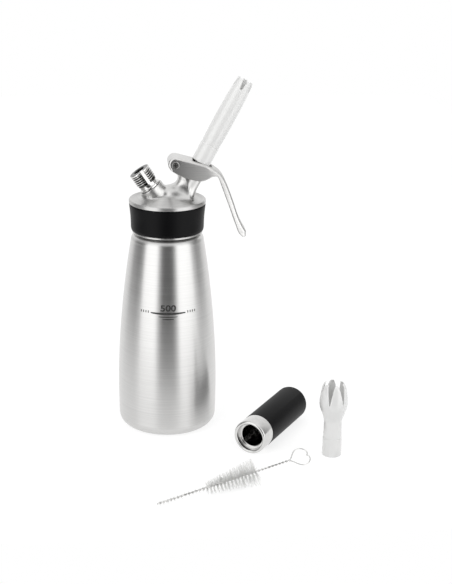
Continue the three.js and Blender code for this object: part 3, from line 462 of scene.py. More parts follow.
# Places
def place(origin, rotation=(0, 0, 0), yaw=0.0):
    """A frame at origin, turned by rotation about its own axes and then by yaw about +Z."""
    turn = Matrix.Rotation(yaw, 4, "Z") @ Euler(rotation).to_matrix().to_4x4()
    return np.array(Matrix.Translation(origin) @ turn)


UPRIGHT = place((0, 0, 0))
PORT = place(PORT_PLACE, (0, PORT_TILT, 0))
VALVE = place(VALVE_PLACE, (0, VALVE_TILT, 0))
PIVOT = place(PIVOT_PLACE)
SCREW = place(PIVOT_PLACE, (math.pi / 2, 0, 0))
TULIP = place(TULIP_PLACE, yaw=TULIP_TURN)
HOLDER = place(HOLDER_PLACE, (0, math.pi / 2, 0), HOLDER_YAW)
BRUSH = place(BRUSH_PLACE, (0, math.pi / 2 - BRUSH_PITCH, 0), BRUSH_YAW)


# Meshes
def signed_volume(points, faces):
    total = 0.0
    for size in (3, 4):
        group = np.array([face for face in faces if len(face) == size], dtype=int)
        for corner in range(1, size - 1):
            if len(group):
                a, b, c = (points[group[:, k]] for k in (0, corner, corner + 1))
                total += np.einsum("ij,ij->i", a, np.cross(b, c)).sum() / 6
    return total


def linked(item):
    bpy.context.scene.collection.objects.link(item)
    return item


def add_piece(name, shape, spot, look, body, nodes=()):
    """A smooth mesh piece from points and faces in millimetres in the frame spot, riding on a body."""
    points, faces = shape
    material, slot = look
    if signed_volume(points, faces) < 0:
        faces = [face[::-1] for face in faces]
    moved = (points @ spot[:3, :3].T + spot[:3, 3]) * MM
    mesh = bpy.data.meshes.new(name)
    mesh.from_pydata(moved.tolist(), [], faces)
    mesh.materials.append(material)
    mesh.shade_smooth()
    mesh.set_sharp_from_angle(angle=SHARP_ANGLE)
    piece = linked(bpy.data.objects.new(name, mesh))
    if nodes:
        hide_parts(*nodes)
    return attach(piece, body)


def joined(*parts):
    """Several (points, faces) as one."""
    points, faces, start = [], [], 0
    for part_points, part_faces in parts:
        points.append(part_points)
        faces.extend([[k + start for k in face] for face in part_faces])
        start += len(part_points)
    return np.concatenate(points), faces


# Outlines
def rounded(corners, fillet, steps=5):
    """A run of (radius, height) corners, the inner ones rounded. A corner may name its own fillet."""
    points = [np.array(corner[:2], float) for corner in corners]
    sizes = [corner[2] if len(corner) > 2 else fillet for corner in corners]
    smooth = [points[0]]
    for i in range(1, len(points) - 1):
        back, ahead = points[i - 1] - points[i], points[i + 1] - points[i]
        reach = min(sizes[i], 0.45 * np.hypot(*back), 0.45 * np.hypot(*ahead))
        start = points[i] + back / np.hypot(*back) * reach
        end = points[i] + ahead / np.hypot(*ahead) * reach
        for s in np.linspace(0, 1, steps):
            smooth.append((1 - s) ** 2 * start + 2 * s * (1 - s) * points[i] + s ** 2 * end)
    smooth.append(points[-1])
    return np.array(smooth)


def rounded_loop(corners, fillet, steps=5):
    """A closed outline with every corner rounded."""
    return rounded([corners[-1]] + list(corners) + [corners[0]], fillet, steps)[1:-1]


def smoothed(points, rounds):
    """An open run of points with its corners cut again and again, ends kept."""
    run = np.array(points, float)
    for _ in range(rounds):
        early = 0.75 * run[:-1] + 0.25 * run[1:]
        late = 0.25 * run[:-1] + 0.75 * run[1:]
        middle = np.stack([early, late], 1).reshape(-1, 2)[1:-1]
        run = np.concatenate([run[:1], middle, run[-1:]])
    return run


def profile(shares, inner, outer, foot, top):
    """(radius, height) points from shares of the way out and of the way up."""
    return [(inner + (outer - inner) * out, foot + (top - foot) * up) for out, up in shares]


def unrounded(points):
    """Points whose corners stay sharp."""
    return [(*point, 0) for point in points]


def ladder(radius, low, high, step):
    """Many points up a straight wall, so that a thread can shape it."""
    count = max(2, int(round((high - low) / step)))
    return unrounded((radius, height) for height in np.linspace(low, high, count))


def arc_points(centre, radius, start, end, steps):
    angles = np.radians(np.linspace(start, end, steps + 1))
    return [(centre[0] + radius * math.cos(a), centre[1] + radius * math.sin(a)) for a in angles]


# Turned pieces
def turned(outline, segments=ROUND_SEGMENTS, push=None):
    """A run of (radius, height) points turned about +Z: a closed loop, or open with both ends on the axis."""
    outline = np.asarray(outline, float)
    on_axis = outline[:, 0] < 1e-6
    closed = not on_axis[0]
    angles = np.arange(segments) / segments * 2 * math.pi
    points, rings, start = [], [], 0
    for (radius, height), axial in zip(outline, on_axis):
        if axial:
            points.append([[0, 0, height]])
            rings.append([start] * segments)
            start += 1
            continue
        radii = radius + (push(angles, radius, height) if push else 0) + np.zeros(segments)
        heights = np.full(segments, height)
        points.append(np.stack([radii * np.cos(angles), radii * np.sin(angles), heights], 1))
        rings.append(list(range(start, start + segments)))
        start += segments
    if closed:
        rings.append(rings[0])
    faces = []
    for low, high in zip(rings, rings[1:]):
        for k in range(segments):
            n = (k + 1) % segments
            corners = [low[k], low[n], high[n], high[k]]
            face = [c for i, c in enumerate(corners) if c != corners[i - 1]]
            if len(face) > 2:
                faces.append(face)
    return np.concatenate(points), faces


def ridge_height(angles, height, start, pitch, turns, depth, root, crest):
    """How far a right-hand thread ridge stands out at each angle and height."""
    turn = np.mod(angles, 2 * math.pi) / (2 * math.pi)
    place_along = (height - start) / pitch - turn
    nearest = np.clip(np.round(place_along), -1, turns)
    offset = np.abs(place_along - nearest) * pitch
    position = nearest + turn
    fade = np.clip(np.minimum(position, turns - position) * 8, 0, 1)
    flank = np.clip((root / 2 - offset) / ((root - crest) / 2), 0, 1)
    return depth * fade * flank * flank * (3 - 2 * flank)


# Distance fields: negative inside, in millimetres
def polygon_distance(u, v, corners):
    """Signed distance to a closed polygon."""
    best = np.full(np.broadcast(u, v).shape, np.inf)
    inside = np.zeros(best.shape, bool)
    ends = np.roll(corners, -1, axis=0)
    for (au, av), (bu, bv) in zip(corners, ends):
        du, dv = bu - au, bv - av
        along = np.clip(((u - au) * du + (v - av) * dv) / max(du * du + dv * dv, 1e-12), 0, 1)
        best = np.minimum(best, (u - au - along * du) ** 2 + (v - av - along * dv) ** 2)
        if dv:
            crosses = (av > v) != (bv > v)
            inside ^= crosses & (u < au + (v - av) * du / dv)
    return np.where(inside, -1, 1) * np.sqrt(best)


def outline_field(corners, margin=4.0, spacing=0.2):
    corners = np.asarray(corners, float)
    low = corners.min(0) - margin
    counts = np.ceil((corners.max(0) + margin - low) / spacing).astype(int) + 2
    u = low[0] + spacing * np.arange(counts[0])
    v = low[1] + spacing * np.arange(counts[1])
    table = polygon_distance(u[:, None], v[None, :], corners)

    def field(at_u, at_v):
        fu = np.clip((at_u - low[0]) / spacing, 0, counts[0] - 1.001)
        fv = np.clip((at_v - low[1]) / spacing, 0, counts[1] - 1.001)
        iu, iv = fu.astype(int), fv.astype(int)
        su, sv = fu - iu, fv - iv
        near = table[iu, iv] * (1 - sv) + table[iu, iv + 1] * sv
        far = table[iu + 1, iv] * (1 - sv) + table[iu + 1, iv + 1] * sv
        return near * (1 - su) + far * su

    return field


def union(a, b, soft):
    mix = np.clip(0.5 + 0.5 * (b - a) / soft, 0, 1)
    return b + (a - b) * mix - soft * mix * (1 - mix)


def cut(a, b, soft=CUT_EDGE):
    return -union(-a, b, soft)


def common(a, b, soft):
    return -union(-a, -b, soft)


def rounded_meeting(side, end, edge):
    """What lies inside two fields whose surfaces cross at a right angle, its corner rounded by edge."""
    side, end = side + edge, end + edge
    outside = np.sqrt(np.maximum(side, 0) ** 2 + np.maximum(end, 0) ** 2)
    return outside + np.minimum(np.maximum(side, end), 0) - edge


def rod_field(across, along, radius, low, high, edge=PLAIN_EDGE):
    """A cylinder with a rounded rim. across is the distance from its axis."""
    return rounded_meeting(across - radius, np.maximum(low - along, along - high), edge)


def slab_field(flat, across, half, edge):
    """A flat outline's distance, given thickness to either side, with rounded edges."""
    return rounded_meeting(flat, np.abs(across) - half, edge)


def box_field(x, y, half_x, half_y, corner):
    """A rectangle with rounded corners, in its own plane."""
    return rounded_meeting(np.abs(x) - half_x, np.abs(y) - half_y, corner)


def local(spot, x, y, z):
    """World points in a frame's own axes."""
    shifted = (x - spot[0, 3], y - spot[1, 3], z - spot[2, 3])
    return [sum(shifted[i] * spot[i, k] for i in range(3)) for k in range(3)]


def surface_of(field, low, high, cell):
    """The surface where a field is zero: one point in each crossed cell, drawn onto the surface."""
    low, high = np.array(low, float), np.array(high, float)
    counts = np.ceil((high - low) / cell).astype(int) + 1
    axes = [low[i] + cell * np.arange(counts[i]) for i in range(3)]
    values = field(axes[0][:, None, None], axes[1][None, :, None], axes[2][None, None, :])
    values = np.broadcast_to(values, counts).astype(np.float32)
    cells = tuple(counts - 1)
    hits = np.zeros(cells, np.float32)
    total = [np.zeros(cells, np.float32) for _ in range(3)]
    edges = []
    for axis in range(3):
        others = [k for k in range(3) if k != axis]
        near = np.take(values, range(counts[axis] - 1), axis)
        far = np.take(values, range(1, counts[axis]), axis)
        crossed = (near < 0) != (far < 0)
        share = np.where(crossed, near / np.where(crossed, near - far, 1), 0)
        edges.append((axis, others, crossed, near < 0))
        for first in (0, 1):
            for second in (0, 1):
                part = [slice(None)] * 3
                part[others[0]] = slice(first, first + cells[others[0]])
                part[others[1]] = slice(second, second + cells[others[1]])
                here = crossed[tuple(part)]
                hits += here
                total[axis] += share[tuple(part)]
                total[others[0]] += here * first
                total[others[1]] += here * second
    active = hits > 0
    number = np.full(cells, -1)
    number[active] = np.arange(active.sum())
    where = np.argwhere(active)
    inner = np.stack([total[k][active] / hits[active] for k in range(3)], 1)
    points = low + cell * (where + inner)
    faces = []
    for axis, others, crossed, inward in edges:
        spots = np.argwhere(crossed)
        keep = np.all([(spots[:, k] > 0) & (spots[:, k] < counts[k] - 1) for k in others], axis=0)
        spots = spots[keep]
        ring = []
        for first, second in ((0, 0), (1, 0), (1, 1), (0, 1)):
            corner = spots.copy()
            corner[:, others[0]] -= first
            corner[:, others[1]] -= second
            ring.append(number[tuple(corner.T)])
        quads = np.stack(ring, 1)
        flip = inward[tuple(spots.T)] ^ (axis == 1)
        quads[flip] = quads[flip][:, ::-1]
        faces.append(quads)
    return drawn_onto(field, points, cell), np.concatenate(faces).tolist()


def boxed_surface(field, halves, heights, cell, margin=GRID_MARGIN):
    """The surface of a field that keeps within half widths of its axis and between two heights."""
    low = np.array((-halves[0], -halves[1], heights[0])) - margin
    high = np.array((*halves, heights[1])) + margin
    return surface_of(field, low, high, cell)


def drawn_onto(field, points, cell):
    """Points moved onto the surface of a field, by less than half a cell at a time."""
    step = cell * 0.1
    for _ in range(3):
        value = field(*points.T)
        slope = np.stack([
            (field(*(points + step * axis).T) - field(*(points - step * axis).T)) / (2 * step)
            for axis in np.eye(3)], 1)
        size = np.maximum((slope ** 2).sum(1), 0.05)
        move = -slope * (value / size)[:, None]
        length = np.maximum(np.linalg.norm(move, axis=1), 1e-9)
        points = points + move * np.minimum(1, 0.5 * cell / length)[:, None]
    return points


# Tubes
def tube_along(path, radius, sides=8, closed=False):
    """A tube of points round a path. An open one has capped ends."""
    path = np.asarray(path, float)
    ahead = np.roll(path, -1, 0) - np.roll(path, 1, 0)
    if not closed:
        ahead[0], ahead[-1] = path[1] - path[0], path[-1] - path[-2]
    ahead /= np.linalg.norm(ahead, axis=1)[:, None]
    side = np.cross(ahead[0], (0.3, 0.5, 0.8))
    rings = []
    for spot, forward in zip(path, ahead):
        side = side - forward * side.dot(forward)
        side /= np.linalg.norm(side)
        other = np.cross(forward, side)
        for k in range(sides):
            angle = k / sides * 2 * math.pi
            rings.append(spot + radius * (math.cos(angle) * side + math.sin(angle) * other))
    count = len(path)
    faces = []
    for i in range(count if closed else count - 1):
        n = (i + 1) % count
        for k in range(sides):
            m = (k + 1) % sides
            faces.append([i * sides + k, i * sides + m, n * sides + m, n * sides + k])
    if not closed:
        faces.append(list(range(sides))[::-1])
        faces.append([(count - 1) * sides + k for k in range(sides)])
    return np.array(rings), faces


# Shader nodes
def wired(tree, target, values):
    """Fill a node's inputs, by name or number: a socket is linked and anything else is set."""
    for key, value in values.items():
        if isinstance(value, bpy.types.NodeSocket):
            tree.links.new(value, target.inputs[key])
        else:
            target.inputs[key].default_value = value


def new_node(tree, kind, values, **properties):
    made = tree.nodes.new(kind)
    for key, value in properties.items():
        setattr(made, key, value)
    wired(tree, made, values)
    return made


def result(tree, kind, values, **properties):
    """The first output of a new node."""
    return new_node(tree, kind, values, **properties).outputs[0]


def math_node(tree, operation, *operands):
    return result(tree, "ShaderNodeMath", dict(enumerate(operands)), operation=operation)


def object_vector(tree):
    return new_node(tree, "ShaderNodeTexCoord", {}).outputs["Object"]


def axes_of(tree, vector):
    """The three parts of a vector."""
    return new_node(tree, "ShaderNodeSeparateXYZ", {0: vector}).outputs


def axis_distance(tree, x, y):
    squares = math_node(tree, "ADD", math_node(tree, "MULTIPLY", x, x), math_node(tree, "MULTIPLY", y, y))
    return math_node(tree, "SQRT", squares)


def turning_vector(tree):
    """A vector of the distance from the vertical axis, the height and the angle round that axis."""
    x, y, z = axes_of(tree, object_vector(tree))
    parts = {0: axis_distance(tree, x, y), 1: z, 2: math_node(tree, "ARCTAN2", y, x)}
    return result(tree, "ShaderNodeCombineXYZ", parts)


def ranged(tree, value, start, end, low=0.0, high=1.0):
    """A value carried from the span between start and end to the span between low and high."""
    return result(tree, "ShaderNodeMapRange", {"Value": value, "From Min": start, "From Max": end,
                                               "To Min": low, "To Max": high})


def stretched_noise(tree, vector, scale, detail=3.0):
    """Noise whose grain is stretched by the three scales, in grains a metre."""
    stretched = result(tree, "ShaderNodeMapping", {"Vector": vector, "Scale": scale})
    return result(tree, "ShaderNodeTexNoise", {"Vector": stretched, "Scale": 1.0, "Detail": detail})


def mixed(tree, share, first, second):
    """A colour between two, by a share."""
    values = {0: share, 6: first, 7: second}
    return new_node(tree, "ShaderNodeMix", values, data_type="RGBA").outputs[2]


def tint(tree, share, dark, light):
    return mixed(tree, share, (*dark, 1), (*light, 1))


def bumped(tree, height, strength, distance):
    return result(tree, "ShaderNodeBump", {"Height": height, "Strength": strength, "Distance": distance})


# Materials. Scales are grains a metre along X, Y and Z.
STEEL_LIGHT = (0.72, 0.715, 0.705)
STEEL_DARK = (0.6, 0.597, 0.59)
BRIGHT_STEEL = (0.76, 0.755, 0.745)
CREST_STEEL = (0.74, 0.735, 0.725)
SCREW_STEEL = (0.5, 0.497, 0.49)
# Painted shade: the near-black put into the port's thread grooves and the screw's cross recess
PAINTED_SHADE_COLOUR = (0.06, 0.06, 0.058)
NOISE_SPAN_SHARES = (0.3, 0.7)
BRUSH_LINE_DEPTH = 0.04
MOULD_GRAIN_DEPTH = 0.05
MOTTLE_SCALE = 90
ROUGHNESS_SPREAD = 0.05
QUARTER_TURN = 0.25
# Where the port's painted groove shade fades: distances above the thread root and below the crest
GROOVE_SHADE = 0.1
CREST_SHADE = 0.15
LEVER_ROUGHNESS = 0.33
LEVER_ROUGH_RISE = 0.2
LEVER_ROUGHER = (8.0, 40.0)
LEVER_SMOOTHER = (42.0, 54.0)


def new_material(name, colour, metallic, roughness, specular=0.5):
    material = bpy.data.materials.new(name)
    material.use_nodes = True
    tree, shader = shader_of(material)
    wired(tree, shader, {"Base Color": (*colour, 1), "Metallic": metallic, "Roughness": roughness,
                         "Specular IOR Level": specular})
    return material, tree, shader


def shader_of(material):
    return material.node_tree, material.node_tree.nodes["Principled BSDF"]


def steel(name, vector_of, fine, coarse, roughness=(0.2, 0.34), anisotropy=0.0, bump=0.25,
          light=STEEL_LIGHT, dark=STEEL_DARK):
    """Steel with fine brush lines and broader streaks. The two scales say which way the lines run."""
    material, tree, shader = new_material(name, light, 1.0, roughness[0])
    vector = vector_of(tree)
    lines = stretched_noise(tree, vector, fine)
    streaks = stretched_noise(tree, vector, coarse, detail=2.0)
    both = math_node(tree, "MULTIPLY", math_node(tree, "ADD", lines, streaks), 0.5)
    wired(tree, shader, {"Base Color": tint(tree, ranged(tree, both, *NOISE_SPAN_SHARES), dark, light),
                         "Roughness": ranged(tree, streaks, *NOISE_SPAN_SHARES, *roughness),
                         "Normal": bumped(tree, both, bump, BRUSH_LINE_DEPTH * MM)})
    if anisotropy:
        tangent = result(tree, "ShaderNodeTangent", {}, direction_type="RADIAL", axis="Z")
        wired(tree, shader, {"Anisotropic": anisotropy, "Anisotropic Rotation": QUARTER_TURN,
                             "Tangent": tangent})
    return material


def head_look():
    """Steel spun round on the lid and rim, and smoother on the cast parts above."""
    material = steel("head_steel", turning_vector, (2600, 160, 1.3), (650, 90, 0.7), anisotropy=1.0,
                     bump=0.08)
    tree, shader = shader_of(material)
    height = axes_of(tree, object_vector(tree))[2]
    for socket, levels in {"Roughness": (0.42, 0.34), "Anisotropic": (1.0, 0.2)}.items():
        wired(tree, shader, {socket: ranged(tree, height, SPUN_TOP * MM, CAST_FOOT * MM, *levels)})
    return material


def lever_look():
    """Brushed steel that is rougher where the cheeks run out into the handle."""
    material = steel("lever_steel", object_vector, (70, 900, 2600), (40, 600, 1500), bump=0.14,
                     light=BRIGHT_STEEL, dark=(0.62, 0.617, 0.61))
    tree, shader = shader_of(material)
    along = axes_of(tree, object_vector(tree))[0]
    shares = [ranged(tree, along, start * MM, end * MM) for start, end in (LEVER_ROUGHER, LEVER_SMOOTHER)]
    raised = math_node(tree, "MULTIPLY", math_node(tree, "SUBTRACT", *shares), LEVER_ROUGH_RISE)
    wired(tree, shader, {"Roughness": math_node(tree, "ADD", raised, LEVER_ROUGHNESS)})
    return material


def port_look():
    """Polished steel with painted shade, dark in the thread's grooves but not below them or in the vent slot.
    """
    material, tree, shader = new_material("port_steel", STEEL_LIGHT, 1.0, 0.16)
    place_in_metres = tuple(value * MM for value in PORT_PLACE)
    upright = result(tree, "ShaderNodeMapping", {"Vector": object_vector(tree), "Location": place_in_metres,
                                                 "Rotation": (0, PORT_TILT, 0)}, vector_type="TEXTURE")
    turned_to_slot = result(tree, "ShaderNodeMapping", {"Vector": upright, "Rotation": (0, 0, VENT_ANGLE)},
                            vector_type="TEXTURE")
    x, y, z = axes_of(tree, turned_to_slot)
    height = ranged(tree, axis_distance(tree, x, y), (PORT_RADIUS - PORT_RIDGE + GROOVE_SHADE) * MM,
                    (PORT_RADIUS - CREST_SHADE) * MM)
    beside = math_node(tree, "LESS_THAN", math_node(tree, "ABSOLUTE", y), VENT_WIDTH / 2 * MM)
    slot = math_node(tree, "MULTIPLY", beside, math_node(tree, "GREATER_THAN", x, 0))
    below = math_node(tree, "LESS_THAN", z, PORT_UNDERCUT_TOP * MM)
    bright = math_node(tree, "MAXIMUM", math_node(tree, "MAXIMUM", height, slot), below)
    wired(tree, shader, {"Base Color": tint(tree, bright, PAINTED_SHADE_COLOUR, CREST_STEEL)})
    return material


def screw_look():
    """Steel with painted shade, dark down in the cross recess of the pivot screw."""
    material, tree, shader = new_material("screw_look", SCREW_STEEL, 1.0, 0.3)
    head_side = axes_of(tree, object_vector(tree))[1]
    spans = [-(SCREW_SEAT + height) * MM for height in CROSS_SHADE]
    dark = ranged(tree, head_side, *spans)
    wired(tree, shader, {"Base Color": tint(tree, dark, SCREW_STEEL, PAINTED_SHADE_COLOUR)})
    return material


def moulded(name, colour, shade, roughness, bump, grain=1500, specular=0.5):
    """Moulded plastic or rubber with a fine grain and faint mottling."""
    material, tree, shader = new_material(name, colour, 0.0, roughness, specular)
    vector = object_vector(tree)
    fine = stretched_noise(tree, vector, [grain] * 3, detail=4.0)
    broad = stretched_noise(tree, vector, [MOTTLE_SCALE] * 3, detail=2.0)
    levels = (roughness - ROUGHNESS_SPREAD, roughness + ROUGHNESS_SPREAD)
    wired(tree, shader, {"Base Color": tint(tree, broad, shade, colour),
                         "Roughness": ranged(tree, fine, *NOISE_SPAN_SHARES, *levels),
                         "Normal": bumped(tree, fine, bump, MOULD_GRAIN_DEPTH * MM)})
    return material


def white_plastic():
    material = moulded("white_plastic_look", (0.83, 0.83, 0.82), (0.78, 0.78, 0.775), 0.34, 0.08)
    wired(*shader_of(material), {"Subsurface Weight": 0.15, "Subsurface Radius": [2 * MM] * 3,
                                 "Subsurface Scale": 1.0, "Coat Weight": 1.0, "Coat Roughness": 0.12})
    return material


def clear_nylon():
    material = moulded("clear_nylon_look", (0.93, 0.93, 0.92), (0.88, 0.88, 0.87), 0.35, 0.05)
    wired(*shader_of(material), {"Transmission Weight": 0.35, "Alpha": 0.5})
    return material


# Looks: a material and its slot
BOTTLE_LOOK = (steel("bottle_steel", object_vector, (30, 30, 3600), (14, 14, 1500), roughness=(0.3, 0.36),
                     anisotropy=0.85, bump=0.08, light=(0.71, 0.706, 0.698)), "brushed_steel")
HEAD_LOOK = (head_look(), "brushed_steel")
LEVER_LOOK = (lever_look(), "brushed_steel")
RING_LOOK = (steel("ring_steel", object_vector, [900] * 3, [260] * 3, roughness=(0.12, 0.2), bump=0.1),
             "brushed_steel")
POLISHED = (steel("polished_look", object_vector, [700] * 3, [120] * 3, roughness=(0.07, 0.15), bump=0.06,
                  light=BRIGHT_STEEL, dark=(0.68, 0.677, 0.67)), "polished_steel")
PORT_LOOK = (port_look(), "polished_steel")
SILICONE = (moulded("black_silicone_look", (0.003, 0.003, 0.0035), (0.0015, 0.0015, 0.002), 0.42, 0.2,
                    grain=2600, specular=0.12), "black_silicone")
RUBBER = (moulded("seal_rubber_look", (0.02, 0.018, 0.017), (0.013, 0.012, 0.011), 0.55, 0.15), "seal_rubber")
SCREW_LOOK = (screw_look(), "polished_steel")
PLASTIC = (white_plastic(), "white_plastic")
NYLON = (clear_nylon(), "clear_nylon")
INK = (moulded("fill_mark_ink", (0.03, 0.03, 0.03), (0.02, 0.02, 0.02), 0.6, 0.1), "black_silicone")


# Bottle
def side_radius(height):
    share = (height - BELLY_HEIGHT) / (SIDE_TOP_HEIGHT - BELLY_HEIGHT)
    return BELLY_RADIUS - (BELLY_RADIUS - SIDE_TOP_RADIUS) * max(share, 0) ** SIDE_TAPER_POWER


def shoulder_points(inset):
    rise = SHOULDER_TOP_HEIGHT - SIDE_TOP_HEIGHT - inset
    reach = SIDE_TOP_RADIUS - NECK_RADIUS - inset
    angles = np.linspace(0, math.pi / 2, 14)[1:]
    return [(NECK_RADIUS + reach * math.cos(a), SIDE_TOP_HEIGHT + rise * math.sin(a)) for a in angles]


def bottle_outline():
    foot_edge = FOOT_RADIUS + FOOT_CORNER
    foot_centre = (FOOT_RADIUS, FOOT_CORNER)
    bore = NECK_RADIUS - NECK_WALL
    recess = [(0, FOOT_RECESS), (FOOT_RECESS_RADIUS - FOOT_RECESS_SLOPE, FOOT_RECESS, FOOT_RECESS_SLOPE),
              (FOOT_RECESS_RADIUS, 0, BROAD_EDGE)]
    outer = arc_points(foot_centre, FOOT_CORNER, -90, 0, 16)
    for share in np.linspace(0, 1, 9)[1:]:
        radius = foot_edge + (BELLY_RADIUS - foot_edge) * math.sin(share * math.pi / 2)
        outer.append((radius, FOOT_CORNER + share * (BELLY_HEIGHT - FOOT_CORNER)))
    outer += [(side_radius(z), z) for z in np.linspace(BELLY_HEIGHT, SIDE_TOP_HEIGHT, 60)[1:]]
    outer += shoulder_points(0) + [(NECK_RADIUS, NECK_THREAD_LOW - 2 * THREAD_MARGIN)]
    lip = [(NECK_RADIUS, NECK_LIP_HEIGHT, FULL_EDGE), (bore, NECK_LIP_HEIGHT, FULL_EDGE),
           (bore, SHOULDER_TOP_HEIGHT - BOTTLE_WALL, BOTTLE_WALL)]
    inner = [point for point in shoulder_points(BOTTLE_WALL)[::-1] if point[0] > bore]
    inner += [(side_radius(z) - BOTTLE_WALL, z) for z in np.linspace(SIDE_TOP_HEIGHT, BELLY_HEIGHT, 30)]
    inner += arc_points(foot_centre, FOOT_CORNER - FOOT_WALL, 0, -90, 10)
    thread = ladder(NECK_RADIUS, NECK_THREAD_LOW, NECK_THREAD_HIGH, THREAD_STEP)
    floor = [(0, FOOT_RECESS + BOTTLE_WALL)]
    return rounded(recess + unrounded(outer) + thread + lip + unrounded(inner) + floor, SOFT_EDGE)


def neck_push(angles, radius, height):
    threaded = NECK_THREAD_LOW - THREAD_MARGIN < height < NECK_THREAD_HIGH + THREAD_MARGIN
    if abs(radius - NECK_RADIUS) > SAME_RADIUS or not threaded:
        return 0
    return ridge_height(angles, height, NECK_THREAD_START, *NECK_THREAD)


def make_bottle():
    shape = turned(bottle_outline(), ROUND_SEGMENTS, neck_push)
    add_piece("bottle", shape, UPRIGHT, BOTTLE_LOOK, "bottle", ["bottle_shell"])


# Fill mark
def on_bottle(across, up, lift):
    """Flat (across, up) drawing points wrapped on the bottle's front."""
    radius = np.array([side_radius(height) for height in up]) + lift
    angle = across / BELLY_RADIUS * MARK_WRAP_SHARE + MARK_TURN
    return np.stack([radius * np.sin(angle), -radius * np.cos(angle), up], 1)


def decal(across, low, high):
    """A thin printed strip between two heights, each one number or a run of them."""
    count = len(across)
    layers = [on_bottle(across, up + np.zeros(count), lift) for lift in (-MARK_DEPTH, MARK_LIFT)
              for up in (low, high)]
    faces = []
    for k in range(count - 1):
        for a, b in ((0, 1), (1, 3), (3, 2), (2, 0)):
            faces.append([a * count + k, a * count + k + 1, b * count + k + 1, b * count + k])
    faces.append([0, count, 3 * count, 2 * count])
    faces.append([count - 1, 3 * count - 1, 4 * count - 1, 2 * count - 1])
    return np.concatenate(layers), faces


def mark_line(half_width, thickness, height, end_share):
    """A line that is thicker in its middle, like a brush stroke."""
    across = np.linspace(-half_width, half_width, 25)
    swell = thickness * (end_share + (1 - end_share) * (1 - (across / half_width) ** 2))
    return decal(across, height - swell, height)


def flat_text(text):
    """Digits as flat points and faces."""
    curve = bpy.data.curves.new("fill_number", "FONT")
    curve.body = text
    curve.size = NUMBER_SIZE
    curve.offset = NUMBER_WEIGHT
    curve.align_x = "CENTER"
    curve.resolution_u = 6
    writer = linked(bpy.data.objects.new("fill_number", curve))
    bpy.context.view_layer.update()
    flat = writer.evaluated_get(bpy.context.evaluated_depsgraph_get()).to_mesh()
    drawn = np.array([v.co for v in flat.vertices], float) * (NUMBER_STRETCH, 1, 1)
    faces = [list(p.vertices) for p in flat.polygons]
    writer.to_mesh_clear()
    bpy.data.objects.remove(writer)
    bpy.data.curves.remove(curve)
    return drawn, faces


def number_mesh(text, height):
    """Plain digits wrapped on the bottle, standing on a height."""
    drawn, faces = flat_text(text)
    count = len(drawn)
    layers = [on_bottle(drawn[:, 0], drawn[:, 1] + height, lift) for lift in (MARK_LIFT, -MARK_DEPTH)]
    sides = {(a, b) for face in faces for a, b in zip(face, face[1:] + face[:1])}
    walls = [[a, a + count, b + count, b] for a, b in sorted(sides) if (b, a) not in sides]
    back = [[k + count for k in face[::-1]] for face in faces]
    return np.concatenate(layers), faces + back + walls


def make_fill_mark():
    parts = [mark_line(MARK_HALF_WIDTH, MARK_THICKNESS, MARK_HEIGHT, MARK_END_SHARE)]
    for half, drop in MARK_ROWS:
        parts.append(mark_line(half, ROW_THICKNESS, MARK_HEIGHT - drop, ROW_END_SHARE))
    for side in (-1, 1):
        for k in range(TICK_COUNT):
            start = MARK_HALF_WIDTH + TICK_GAP * (k + TICK_START_SHARE)
            across = side * np.linspace(start, start + TICK_LENGTH, 3)
            parts.append(decal(across, MARK_HEIGHT - TICK_THICKNESS, MARK_HEIGHT + TICK_THICKNESS))
    parts.append(number_mesh("500", MARK_HEIGHT + NUMBER_RISE))
    add_piece("fill_mark", joined(*parts), UPRIGHT, INK, "bottle")


# Head
def head_blank():
    """The turned outside of the head: flange, skirt, rim and dished lid."""
    bead = arc_points((RIM_RADIUS - RIM_BEAD, RIM_TOP - RIM_BEAD), RIM_BEAD, 0, 90, 8)
    dish = [(DISH_RADIUS + DISH_SLOPE, LID_HEIGHT + DISH_RISE), (DISH_RADIUS, LID_HEIGHT),
            (PAST_AXIS, LID_HEIGHT)]
    skirt = [(PAST_AXIS, SKIRT_BOTTOM), (FLANGE_RADIUS, SKIRT_BOTTOM), (FLANGE_RADIUS, FLANGE_TOP),
             (SKIRT_RADIUS, FLANGE_TOP), (SKIRT_RADIUS, RIM_BOTTOM), (RIM_RADIUS, RIM_BOTTOM)]
    return outline_field(skirt + bead + dish)


def head_cavity():
    foot = SKIRT_BOTTOM - CAVITY_OVERRUN
    seat = HEAD_BORE_RADIUS - SEAT_WIDTH
    return outline_field([(PAST_AXIS, foot), (HEAD_BORE_RADIUS, foot), (HEAD_BORE_RADIUS, GASKET_SEAT_HEIGHT),
                          (seat, GASKET_SEAT_HEIGHT), (seat - SEAT_WIDTH / 2, CEILING_HEIGHT),
                          (PAST_AXIS, CEILING_HEIGHT)])


def lid_cone():
    foot = LID_HEIGHT - HUB_SUNK
    return outline_field([(PAST_AXIS, foot), (HUB_RADIUS, foot), (HUB_RADIUS, LID_HEIGHT - TINY_EDGE),
                          (HUB_TOP_RADIUS, LID_HEIGHT + HUB_RISE), (PAST_AXIS, LID_HEIGHT + HUB_RISE)])


def saddle_field(x, y, z):
    """A ridge with a flattish top, from the port boss to the valve neck."""
    rise = SADDLE_TOP - SADDLE_FOOT
    out = np.abs(y / SADDLE_HALF_WIDTH) ** SADDLE_POWER
    up = np.abs((z - SADDLE_FOOT) / rise) ** SADDLE_POWER
    section = ((out + up) ** (1 / SADDLE_POWER) - 1) * rise
    middle, half = (SADDLE_REAR + SADDLE_FRONT) / 2, (SADDLE_FRONT - SADDLE_REAR) / 2
    return np.maximum(section, np.abs(x - middle) - half)


